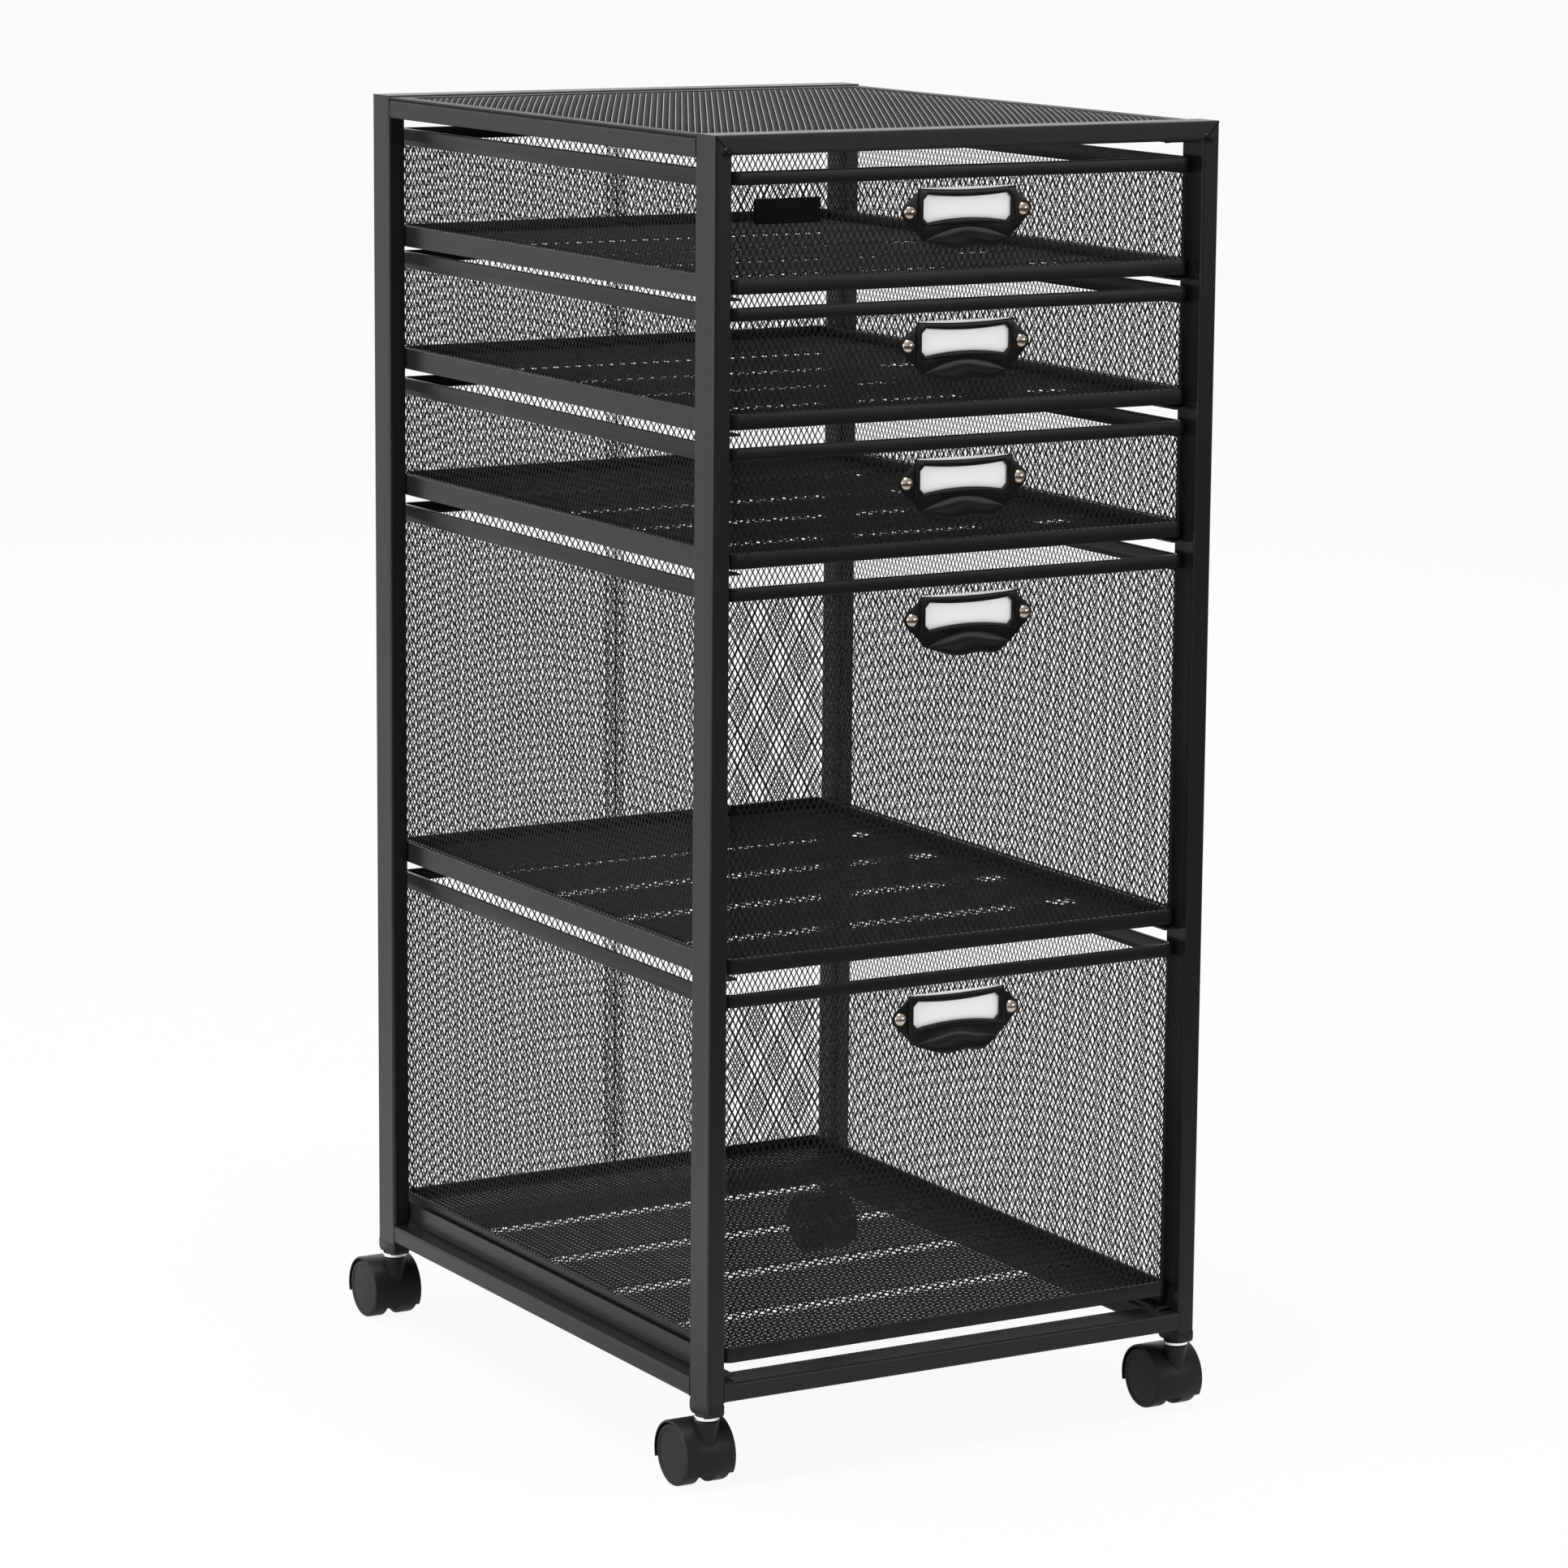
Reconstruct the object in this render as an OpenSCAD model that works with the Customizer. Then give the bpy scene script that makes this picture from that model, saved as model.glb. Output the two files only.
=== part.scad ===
// Rolling drawer cart: an open tube frame on four swivel casters, with three
// shallow and two deep mesh drawers that slide on angle runners.
// X is across the front, -Y is the front, +Z is up and z = 0 is the floor.
// The origin is under the middle of the whole cart.

/* [Frame] */
// Width over the posts
frame_w = 284; // [240:1:340]
// Depth over the posts
frame_d = 362; // [300:1:440]
// Narrow side of the steel tube
tube_face = 9.5; // [8:0.5:13]
// Wide side of the steel tube
tube_depth = 19; // [16:0.5:24]
// Wall of the steel tube
tube_wall = 1; // [0.8:0.1:1.5]
// Outer corner radius of the steel tube
tube_corner = 1.6; // [1.2:0.1:2]
// Height of the bottom rails above the ends of the posts
rail_lift = 1; // [0:0.5:6]
// Drop of the side top rails below the top of the frame
side_rail_drop = 2; // [1.8:0.1:4]
// Radius of the domed boss on each front mitre
boss_r = 2.8; // [2:0.1:2.8]
// Height of the domed boss
boss_h = 1.5; // [0.8:0.1:2]
// Distance of the boss's middle outside the inner corner of the frame
boss_out = 2.8; // [2.8:0.1:4]
// Height of the boss's middle above the inner corner of the frame
boss_up = 1.1; // [-2:0.1:3]
// Gap at the welded ends of the rails
weld_gap = 0.1; // [0.05:0.05:0.2]

/* [Top panel] */
// Width of the flat hem round the top mesh
hem_w = 9; // [6:0.5:14]
// Thickness of the hem
hem_t = 1.2; // [0.8:0.1:1.6]
// Gap between the hem and the frame
hem_gap = 0.3; // [0.1:0.1:1]
// Height of the crown of the top mesh above its hem's underside
crown_h = 1.7; // [1.3:0.1:1.8]
// Width of the sloping edge of the crown
crown_slope = 26; // [10:1:60]

/* [Drawers] */
// Gap between a drawer and the posts on each side
side_room = 2.5; // [2.3:0.1:6]
// Distance of the drawer fronts behind the front of the posts
front_recess = 5.7; // [1:0.1:12]
// Distance of the drawer rears inside the rear of the posts
rear_recess = 3.7; // [1:0.1:40]
// Height of a shallow drawer
shallow_h = 57.8; // [48:0.1:90]
// Height of the upper deep drawer
deep_h = 187.3; // [100:0.1:260]
// Height of the lowest drawer
base_h = 183.1; // [100:0.1:260]
// Gap between the first and second drawers
gap_1 = 6; // [4:0.1:20]
// Gap between the second and third drawers
gap_2 = 8.4; // [4:0.1:20]
// Gap between the third and fourth drawers
gap_3 = 8.9; // [4:0.1:20]
// Gap between the fourth and lowest drawers
gap_4 = 9.8; // [4:0.1:20]
// Gap between the first drawer and the front top rail
gap_top = 8; // [5:0.1:20]
// Radius of the drawer corners
drawer_corner = 5; // [4:0.5:10]
// Thickness of the top rim
rim_t = 2.4; // [1.6:0.1:4]
// Height of the top rim at the front and rear
rim_h = 6.6; // [5:0.1:10]
// Height of the top rim along the sides
side_rim_h = 8.6; // [5:0.1:12]
// Thickness of the bottom rim
band_t = 2; // [1.4:0.1:3]
// Height of the bottom rim at the front and rear
band_h = 7.6; // [6:0.1:12]
// Distance of the bottom rim inside the top rim
band_inset = 0.4; // [0.1:0.1:1]
// Thickness of the mesh sheet
mesh_t = 0.6; // [0.4:0.1:1]
// Distance of the mesh wall inside the top rim
wall_inset = 0.8; // [0.5:0.1:1.2]
// Height of the drawer floor above the bottom of its front rim
floor_rise = 1.2; // [0.8:0.1:3]
// Gap between the drawer floor and the rim round it
floor_gap = 0.2; // [0.1:0.05:0.5]
// Gap where two pieces of rim or wall butt
butt_gap = 0.1; // [0.05:0.05:0.3]
// Number of stiffening beads across a drawer floor
bead_count = 4; // [2:1:6]
// Distance between the beads
bead_pitch = 68; // [40:1:70]
// Distance of the beads' middle in front of the drawer's middle
bead_shift = 7; // [0:1:12]
// Width of a bead
bead_w = 12; // [6:1:16]
// Height of a bead
bead_h = 2.4; // [1:0.1:3.5]
// Distance of a bead's end from the edge of the floor
bead_margin = 9; // [4:1:30]

/* [Mesh grid] */
// Distance from one opening of a mesh sheet to the next, before it is fitted to the sheet
grid_pitch = 20; // [14:1:40]
// Width of the bars between the openings
grid_bar = 4; // [2:0.5:8]
// Most openings across a sheet
grid_most = 12; // [6:1:12]

/* [Runners] */
// Height of a runner's upright side
runner_h = 10.5; // [7:0.5:14]
// Width of a runner's shelf
runner_w = 9; // [8.5:0.5:14]
// Sheet thickness of a runner
runner_t = 1; // [0.8:0.1:1.5]
// Distance of a runner's ends inside the front and rear of the frame
runner_set = 6.5; // [3:0.5:15]
// Height of the lowest runner above the bottom rails
base_runner_gap = 1.3; // [0.3:0.1:6]
// Height of a drawer's front rim above its runner's shelf
seat_h = 1.8; // [0.8:0.1:4]
// Height of the lowest drawer's front rim above its runner's shelf
base_seat_h = 5.8; // [0.8:0.1:8]
// Clearance of a drawer above its runners
slide_gap = 0.3; // [0.2:0.05:0.5]

/* [Label pulls] */
// Distance between a pull's two rivets
rivet_span = 64; // [60:1:70]
// Distance of the rivets below the top of the drawer
rivet_drop = 22; // [20:0.5:30]
// Radius of the ears round the rivets
ear_r = 4.4; // [3.8:0.1:5]
// Width of the raised frame
pull_w = 55; // [50:1:56]
// Height of the raised frame above the rivets' line
pull_up = 11.2; // [10:0.1:14]
// Depth of the raised frame below the rivets' line
pull_down = 7.4; // [7:0.1:10]
// Sheet thickness of the pull
pull_t = 1; // [0.8:0.1:1.4]
// Height of the raised frame above the sheet
frame_rise = 1.3; // [0.8:0.1:2]
// Width of the raised frame's border
border = 2.8; // [2:0.1:4]
// Dip of the raised frame's upper edge at its middle
frame_dip = 1.1; // [0.4:0.1:2]
// Dip of the window's upper edge at its middle
window_dip = 1.3; // [0.4:0.1:2]
// Rise of the window's lower edge at its middle
window_bow = 2; // [0.4:0.1:3]
// Size of the window's cut corners
window_cut = 2.4; // [1:0.1:4]
// Reach of the finger lip in front of the pull
lip_reach = 9.8; // [6:0.1:14]
// Half the width of the finger lip
lip_half = 23; // [18:0.5:25]
// Thickness of the label card
card_t = 0.4; // [0.2:0.05:0.5]
// Clearance round the label card
card_gap = 0.1; // [0.05:0.05:0.3]
// Height of the label card above the raised frame
card_over = 0.1; // [-3:0.1:2]
// Radius of a rivet's head
rivet_r = 3.6; // [2.6:0.1:3.8]
// Height of a rivet's head
rivet_h = 2.3; // [1:0.1:2.6]
// Radius of a rivet's shank
shank_r = 1.5; // [1:0.1:1.8]
// Clearance round a rivet's shank
shank_gap = 0.05; // [0.02:0.01:0.2]
// Distance of the fourth drawer's pull to the right of the others
pull_offset = 4; // [0:0.5:8]
// Width of the badge plate
badge_w = 36; // [20:1:60]
// Height of the badge plate
badge_h = 12; // [8:0.5:16]
// Thickness of the badge plate
badge_t = 1.2; // [0.8:0.1:2]
// Distance of the badge plate from the drawer's left end
badge_side = 12.5; // [8:0.5:30]

/* [Casters] */
// Radius of a caster wheel
wheel_r = 15.5; // [12:0.5:20]
// Width of one wheel
wheel_w = 8.7; // [6:0.1:12]
// Rounding of the tread's outer edge
wheel_edge = 1.4; // [0.8:0.1:1.6]
// Thickness of the tread ring and the disc
wheel_wall = 2.2; // [1.8:0.1:3]
// Radius of the wheel's hub
hub_r = 4.2; // [3.5:0.1:5]
// Radius of the axle pin
axle_r = 2; // [1.5:0.1:2.5]
// Radial clearance of the wheels on the axle pin
axle_gap = 0.06; // [0.02:0.01:0.1]
// Half the thickness of the caster's middle web
web_half = 4.2; // [3.8:0.1:6]
// Gap between a wheel and the web, and between a wheel and the pin's end
side_gap = 0.3; // [0.2:0.05:0.6]
// Gap between the tread and the hood
hood_gap = 0.6; // [0.4:0.1:1.5]
// Wall of the hood
hood_wall = 1.2; // [1:0.1:2]
// Overhang of the hood beyond the wheels' discs
hood_over = 0.5; // [0:0.1:2]
// Height of the hood's front edge below the axle
skirt_front = 8.5; // [4:0.5:11]
// Height of the hood's rear edge below the axle
skirt_rear = 5; // [2:0.5:10]
// Distance of the axle behind the stem
trail = 11.5; // [8:0.5:14]
// Height of the posts' ends above the axle
stem_rise = 28; // [27:0.5:36]
// Radius of the stem boss at its top
boss_top_r = 6.4; // [5.6:0.1:8]
// Radius of the stem boss at its foot
boss_foot_r = 5; // [4:0.1:5.4]
// Radius of the stem pin
stem_r = 2.5; // [2:0.1:3]
// Radial clearance of the stem pin in the boss and the socket
stem_gap = 0.06; // [0.02:0.01:0.1]
// Depth of the stem pin in the boss
stem_down = 14; // [8:0.5:16]
// Length of the stem pin above its collar
stem_up = 26; // [16:1:32]
// Radius of the stem's collar
collar_r = 6.3; // [5.5:0.1:7]
// Thickness of the stem's collar
collar_t = 2.1; // [1:0.1:2.5]
// Height of a post socket below the end of its post
socket_h = 6.5; // [5:0.5:10]
// Length of a post socket inside its post
socket_in = 24; // [15:1:30]
// Rounding of a post socket's lower ends
socket_round = 3; // [1:0.5:4]
// Clearance of a post socket in its post
socket_gap = 0.1; // [0.05:0.05:0.3]

/* [Hidden] */
$fn = 48;
tiny = 0.01;
corners = [[-1, -1], [1, -1], [-1, 1], [1, 1]];
corner_names = ["front_left", "front_right", "rear_left", "rear_right"];
drawer_numbers = [1:5];
caster_nodes = ["housing", "axle", "wheel_a", "wheel_b"];
drawer_nodes = ["rims", "walls", "floor", "label_pull", "label_card", "rivets"];

// Casters: heights above the floor
axle_z = wheel_r;
post_end_z = axle_z + stem_rise;
socket_z = post_end_z - socket_h;
collar_z = socket_z - collar_t;
boss_top_z = collar_z - side_gap;
hood_in_r = wheel_r + hood_gap;
hood_r = hood_in_r + hood_wall;
wheel_x = web_half + side_gap;
hood_half = wheel_x + wheel_w + hood_over;
stem_x = frame_w / 2 - tube_face / 2;
stem_y = frame_d / 2 - tube_depth / 2;
boss_foot_z = axle_z + 2;
bore_depth = wheel_w - wheel_wall;

// Stack of drawers, from the bottom rails up
rail_z = post_end_z + rail_lift;
rail_top = rail_z + tube_face;
base_z = rail_top + base_runner_gap + runner_t + base_seat_h;
fourth_z = base_z + base_h + gap_4;
third_z = fourth_z + deep_h + gap_3;
second_z = third_z + shallow_h + gap_2;
first_z = second_z + shallow_h + gap_1;
top_z = first_z + shallow_h + gap_top + tube_face;
drawer_z = [first_z, second_z, third_z, fourth_z, base_z];
drawer_h = [shallow_h, shallow_h, shallow_h, deep_h, base_h];
seats = [seat_h, seat_h, seat_h, seat_h, base_seat_h];

// Plan: the front of the lips and the rear of the hoods bound the cart
wall_front = -frame_d / 2 + front_recess + wall_inset;
front_reach = -wall_front + pull_t + lip_reach;
rear_reach = stem_y + trail + hood_r;
shift_y = (front_reach - rear_reach) / 2;
drawer_w = frame_w - 2 * tube_face - 2 * side_room;
drawer_d = frame_d - front_recess - rear_recess;
drawer_y = (front_recess - rear_recess) / 2;
side_end = frame_d / 2 - tube_depth;
inner_x = frame_w / 2 - tube_face;
side_rail_top = top_z - side_rail_drop;
plate_x = -drawer_w / 2 + badge_side;
plate_drop = rivet_drop - 3;
window_w = pull_w - 2 * border + 0.6;
window_top = pull_up - border - 0.4;
window_foot = pull_down - border + 0.8;
pull_x = [0, 0, 0, pull_offset, 0];

// ---- Profiles ----

module rounded(a, b, r) {
    square([a - 2 * r, b], center = true);
    square([a, b - 2 * r], center = true);
    for (sx = [-1, 1], sy = [-1, 1])
        translate([sx * (a / 2 - r), sy * (b / 2 - r)]) circle(r);
}

module tube_section(a, b) {
    difference() {
        rounded(a, b, tube_corner);
        rounded(a - 2 * tube_wall, b - 2 * tube_wall, tube_corner - tube_wall);
    }
}

// A prism along Y from an outline drawn in X and Z
module prism_y(y0, y1) {
    translate([0, y1, 0]) rotate([90, 0, 0]) linear_extrude(y1 - y0) children();
}

// A prism along X from an outline drawn in Y and Z
module prism_x(x0, x1) {
    translate([x0, 0, 0]) rotate([90, 0, 90]) linear_extrude(x1 - x0) children();
}

// A circle cut off at the given height above its foot, for domed heads
module dome(r, h) {
    ball = (r * r + h * h) / (2 * h);
    rotate_extrude() intersection() {
        translate([0, h - ball]) circle(ball);
        square([r, h]);
    }
}

// The openings of a mesh sheet, drawn about its middle and clear of its plain pads, each of
// which is given by its left, right, lower and upper edges
module openings(w, h, pads = []) {
    columns = fitted(w);
    rows = fitted(h);
    pitch = [(w - grid_bar) / columns, (h - grid_bar) / rows];
    size = [pitch[0] - grid_bar, pitch[1] - grid_bar];
    for (i = [0:columns - 1], k = [0:rows - 1]) {
        at = [(i + 0.5 - columns / 2) * pitch[0], (k + 0.5 - rows / 2) * pitch[1]];
        if (clear(at - size / 2, at + size / 2, pads)) translate(at - size / 2) square(size);
    }
}

// How many openings go along a length
function fitted(length) = max(1, min(grid_most, round((length - grid_bar) / grid_pitch)));

// Whether the box from low to high meets none of the pads
function clear(low, high, pads) = len([
    for (p = pads) if (high[0] > p[0] && low[0] < p[1] && high[1] > p[2] && low[1] < p[3]) p
]) == 0;

// ---- Frame ----

module frame_post(c) {
    color("#2b2b2d") translate([0, shift_y, 0]) mirror([c[0] < 0 ? 1 : 0, 0, 0]) intersection() {
        translate([stem_x, c[1] * stem_y, post_end_z])
            linear_extrude(top_z - post_end_z) tube_section(tube_face, tube_depth);
        prism_y(-frame_d, frame_d) polygon([
            [frame_w / 2, 0],
            [frame_w / 2, top_z],
            [inner_x, top_z - tube_face],
            [inner_x, 0]
        ]);
    }
}

module top_rails() {
    color("#2b2b2d") translate([0, shift_y, 0]) {
        for (sy = [-1, 1]) intersection() {
            translate([-frame_w / 2, sy * stem_y, top_z - tube_face / 2])
                rotate([90, 0, 90]) linear_extrude(frame_w)
                tube_section(tube_depth, tube_face);
            prism_y(-frame_d, frame_d) polygon([
                [-frame_w / 2, top_z],
                [frame_w / 2, top_z],
                [inner_x, top_z - tube_face],
                [-inner_x, top_z - tube_face]
            ]);
        }
        for (sx = [-1, 1])
            side_rail(sx, side_rail_top - tube_face);
    }
}

// A flat-laid side tube between the front and rear of the frame
module side_rail(sx, z) {
    half = side_end - weld_gap;
    translate([sx * (frame_w / 2 - tube_depth / 2), half, z + tube_face / 2])
        rotate([90, 0, 0]) linear_extrude(2 * half)
        tube_section(tube_depth, tube_face);
}

module bottom_rails() {
    color("#2b2b2d") translate([0, shift_y, 0]) {
        for (sy = [-1, 1])
            translate([weld_gap - inner_x, sy * stem_y, rail_z + tube_face / 2])
            rotate([90, 0, 90]) linear_extrude(2 * (inner_x - weld_gap))
            tube_section(tube_depth, tube_face);
        for (sx = [-1, 1]) side_rail(sx, rail_z);
    }
}

module corner_bosses() {
    color("#2b2b2d") for (sx = [-1, 1])
        translate([sx * (inner_x + boss_out), shift_y - frame_d / 2, top_z - tube_face + boss_up])
        rotate([90, 0, 0]) dome(boss_r, boss_h);
}

// ---- Top panel ----

hem_x = frame_w / 2 - hem_gap;
hem_y = side_end - hem_gap;

module top_mesh_hem() {
    color("#3a3a3c") translate([0, shift_y, side_rail_top]) linear_extrude(hem_t)
        difference() {
            square([2 * hem_x, 2 * hem_y], center = true);
            square([2 * (hem_x - hem_w), 2 * (hem_y - hem_w)], center = true);
        }
}

module top_mesh() {
    mesh_x = hem_x - hem_w - floor_gap;
    mesh_y = hem_y - hem_w - floor_gap;
    color("#4a4845") translate([0, shift_y, side_rail_top]) difference() {
        crown(mesh_x, mesh_y);
        translate([0, 0, -mesh_t]) crown(mesh_x + 1, mesh_y + 1);
        translate([0, 0, -1]) linear_extrude(crown_h + 2) openings(2 * mesh_x, 2 * mesh_y);
    }
}

// A low block with sloping edges all round
module crown(half_x, half_y) {
    hull() {
        translate([-half_x, -half_y, 0]) cube([2 * half_x, 2 * half_y, mesh_t]);
        translate([-half_x + crown_slope, -half_y + crown_slope, crown_h - tiny])
            cube([2 * (half_x - crown_slope), 2 * (half_y - crown_slope), tiny]);
    }
}

// ---- Runners ----

module runners(sx) {
    color("#232325") translate([0, shift_y, 0]) for (i = [0:4])
        translate([0, 0, drawer_z[i] - seats[i] - runner_t])
        prism_y(-frame_d / 2 + runner_set, frame_d / 2 - runner_set)
        polygon([for (p = [
            [inner_x, 0],
            [inner_x, runner_h],
            [inner_x - runner_t, runner_h],
            [inner_x - runner_t, runner_t],
            [inner_x - runner_w, runner_t],
            [inner_x - runner_w, 0]
        ]) [sx * p[0], p[1]]]);
}

// ---- Drawers: each module draws in the drawer's own frame ----

module at_drawer(i) {
    translate([0, shift_y + drawer_y, drawer_z[i - 1]]) children();
}

// The four lengths of a hoop: front and rear take the rounded corners
module hoop(inset, t, z0, z1, side_z0, side_z1) {
    half_x = drawer_w / 2 - inset;
    half_y = drawer_d / 2 - inset;
    r_out = drawer_corner - inset;
    cut_y = half_y - drawer_corner;
    for (sy = [-1, 1]) translate([0, 0, z0]) linear_extrude(z1 - z0) intersection() {
        ring(half_x, half_y, r_out, t);
        translate([-half_x, sy > 0 ? cut_y + butt_gap : -half_y])
            square([2 * half_x, drawer_corner - butt_gap]);
    }
    for (sx = [-1, 1])
        translate([sx > 0 ? half_x - t : -half_x, -cut_y, side_z0])
        cube([t, 2 * cut_y, side_z1 - side_z0]);
}

module ring(half_x, half_y, r, t) {
    difference() {
        rounded(2 * half_x, 2 * half_y, r);
        rounded(2 * (half_x - t), 2 * (half_y - t), max(r - t, 0.5));
    }
}

module drawer_rims(i) {
    h = drawer_h[i - 1];
    color("#2a2a2c") at_drawer(i) {
        hoop(0, rim_t, h - rim_h, h, h - side_rim_h, h);
        hoop(band_inset, band_t, 0, band_h, slide_gap - seats[i - 1], band_h);
    }
}

module drawer_walls(i) {
    h = drawer_h[i - 1];
    sheet_h = h - rim_h - band_h;
    side_sheet_h = h - side_rim_h - band_h;
    front_w = drawer_w - 2 * drawer_corner;
    side_w = drawer_d - 2 * wall_inset - 2 * drawer_corner;
    color("#3b3b3d") difference() {
        at_drawer(i) difference() {
            hoop(wall_inset, mesh_t, band_h, h - rim_h, band_h, h - side_rim_h);
            translate([0, 0, band_h + sheet_h / 2]) {
                prism_y(-drawer_d, 0) openings(front_w, sheet_h, front_pads(i, band_h + sheet_h / 2));
                prism_y(0, drawer_d) openings(front_w, sheet_h);
            }
            translate([0, 0, band_h + side_sheet_h / 2])
                prism_x(-drawer_w, drawer_w) openings(side_w, side_sheet_h);
        }
        at_rivets(i) rotate([90, 0, 0])
            cylinder(r = shank_r + shank_gap, h = 4 * pull_t, center = true);
    }
}

// Plain pads of the front sheet: one behind the label pull, and one behind the badge plate
function front_pads(i, mid_z) =
    let (
        line_z = drawer_h[i - 1] - rivet_drop - mid_z,
        plate_z = drawer_h[i - 1] - plate_drop - mid_z,
        half_w = rivet_span / 2 + ear_r
    ) concat(
        [[pull_x[i - 1] - half_w, pull_x[i - 1] + half_w, line_z + ridge_z(1), line_z + pull_up]],
        i == 1 ? [[plate_x, plate_x + badge_w, plate_z - badge_h / 2, plate_z + badge_h / 2]] : []
    );

module drawer_floor(i) {
    floor_x = drawer_w / 2 - band_inset - band_t - floor_gap;
    floor_y = drawer_d / 2 - band_inset - band_t - floor_gap;
    bead_r = (bead_w * bead_w / 4 + bead_h * bead_h) / (2 * bead_h);
    first_y = -bead_shift - (bead_count - 1) * bead_pitch / 2;
    color("#3b3b3d") at_drawer(i) translate([0, 0, floor_rise]) {
        linear_extrude(mesh_t) rounded(2 * floor_x, 2 * floor_y, drawer_corner - band_t);
        for (k = [0:bead_count - 1]) intersection() {
            translate([0, first_y + k * bead_pitch, mesh_t + bead_h - bead_r])
                rotate([0, 90, 0])
                cylinder(r = bead_r, h = 2 * (floor_x - bead_margin), center = true);
            translate([-floor_x, -floor_y, 0])
                cube([2 * floor_x, 2 * floor_y, mesh_t + bead_h]);
        }
    }
}

// ---- Label pulls ----

// The pull's own frame: x across, z up from the rivets' line, y = 0 on the mesh
module at_pull(i) {
    translate([pull_x[i - 1], shift_y + wall_front, drawer_z[i - 1] + drawer_h[i - 1] - rivet_drop])
        children();
}

module at_rivets(i) {
    at_pull(i) for (sx = [-1, 1]) translate([sx * rivet_span / 2, 0, 0]) children();
}

// Radius of an arc from its chord and its height
function arc_r(chord, rise) = (chord * chord / 4 + rise * rise) / (2 * rise);

// The arched ridge over the finger lip, at the share u of its half width
function ridge_z(u) = -pull_down - 0.6 - 5.8 * u * u;
// The lip's free edge
function edge_y(u) = -pull_t - lip_reach * (1 - u * u);
function edge_z(u) = ridge_z(1) - 0.6 - 1.7 * (1 - u * u) - 1.6 * pow(sin(180 * u), 2);

module pull_outline() {
    ridge = [for (k = [-8:8]) [lip_half * k / 8, ridge_z(k / 8)]];
    polygon(concat(
        [[-rivet_span / 2 - 0.8, -ear_r + 0.1], [-pull_w / 2 + 0.6, -pull_down - 1.2]],
        ridge,
        [[pull_w / 2 - 0.6, -pull_down - 1.2], [rivet_span / 2 + 0.8, -ear_r + 0.1]],
        [[rivet_span / 2 + 1, ear_r - 0.2], [pull_w / 2, pull_up - 1.5]],
        [[-pull_w / 2, pull_up - 1.5], [-rivet_span / 2 - 1, ear_r - 0.2]]
    ));
    for (sx = [-1, 1]) translate([sx * rivet_span / 2, 0]) circle(ear_r);
}

module raised_outline() {
    dip = arc_r(pull_w, frame_dip);
    difference() {
        translate([-pull_w / 2, -pull_down]) square([pull_w, pull_up + pull_down]);
        translate([0, pull_up - frame_dip + dip]) circle(dip, $fn = 200);
    }
}

module window_outline() {
    top_arc = arc_r(window_w, window_dip);
    foot_arc = arc_r(window_w, window_bow);
    difference() {
        polygon([
            [-window_w / 2, -window_foot + window_cut],
            [-window_w / 2 + window_cut, -window_foot],
            [window_w / 2 - window_cut, -window_foot],
            [window_w / 2, -window_foot + window_cut],
            [window_w / 2, window_top - window_cut],
            [window_w / 2 - window_cut, window_top],
            [-window_w / 2 + window_cut, window_top],
            [-window_w / 2, window_top - window_cut]
        ]);
        translate([0, window_top - window_dip + top_arc]) circle(top_arc, $fn = 200);
        translate([0, window_bow - window_foot - foot_arc]) circle(foot_arc, $fn = 200);
    }
}

// The flared lip is a thin sheet between the ridge and the free edge
module finger_lip() {
    steps = 12;
    down = [0, 0.7 * pull_t, -0.75 * pull_t];
    us = [for (k = [0:steps]) 2 * k / steps - 1];
    ridge = [for (u = us) [lip_half * u, -pull_t + 0.4, ridge_z(u) + 0.3]];
    edge = [for (u = us) [lip_half * u, edge_y(u), edge_z(u)]];
    n = steps + 1;
    points = concat(ridge, edge, [for (p = ridge) p + down], [for (p = edge) p + down]);
    faces = concat(
        [for (k = [0:steps - 1]) [k, k + 1, n + k + 1]],
        [for (k = [0:steps - 1]) [k, n + k + 1, n + k]],
        [for (k = [0:steps - 1]) [2 * n + k, 3 * n + k + 1, 2 * n + k + 1]],
        [for (k = [0:steps - 1]) [2 * n + k, 3 * n + k, 3 * n + k + 1]],
        [for (k = [0:steps - 1]) [k, 2 * n + k + 1, k + 1]],
        [for (k = [0:steps - 1]) [k, 2 * n + k, 2 * n + k + 1]],
        [for (k = [0:steps - 1]) [n + k, n + k + 1, 3 * n + k + 1]],
        [for (k = [0:steps - 1]) [n + k, 3 * n + k + 1, 3 * n + k]],
        [[0, n, 3 * n], [0, 3 * n, 2 * n]],
        [[steps, 2 * n + steps, 3 * n + steps], [steps, 3 * n + steps, n + steps]]
    );
    polyhedron(points, faces);
}

module drawer_label_pull(i) {
    color("#1c1c1e") at_pull(i) {
        difference() {
            union() {
                prism_y(-pull_t, 0) pull_outline();
                prism_y(-pull_t - frame_rise, 0) raised_outline();
            }
            prism_y(-pull_t - frame_rise - 1, 1) window_outline();
            prism_y(-card_t - 2 * card_gap, 1) card_outline(card_gap);
            for (sx = [-1, 1]) translate([sx * rivet_span / 2, 0, 0]) rotate([90, 0, 0])
                cylinder(r = shank_r + shank_gap, h = 4 * pull_t, center = true);
        }
        finger_lip();
    }
}

// The card fills the window and reaches up through the open top of its pocket
module card_outline(grow) {
    card_w = window_w + border - 1;
    card_foot = -window_foot - (border - 1) / 2;
    translate([-card_w / 2 - grow, card_foot - grow])
        square([card_w + 2 * grow, pull_up + card_over - card_foot + 2 * grow]);
}

module drawer_label_card(i) {
    color("#f2f2ef") at_pull(i) prism_y(-card_t - card_gap, -card_gap) card_outline(0);
}

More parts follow.
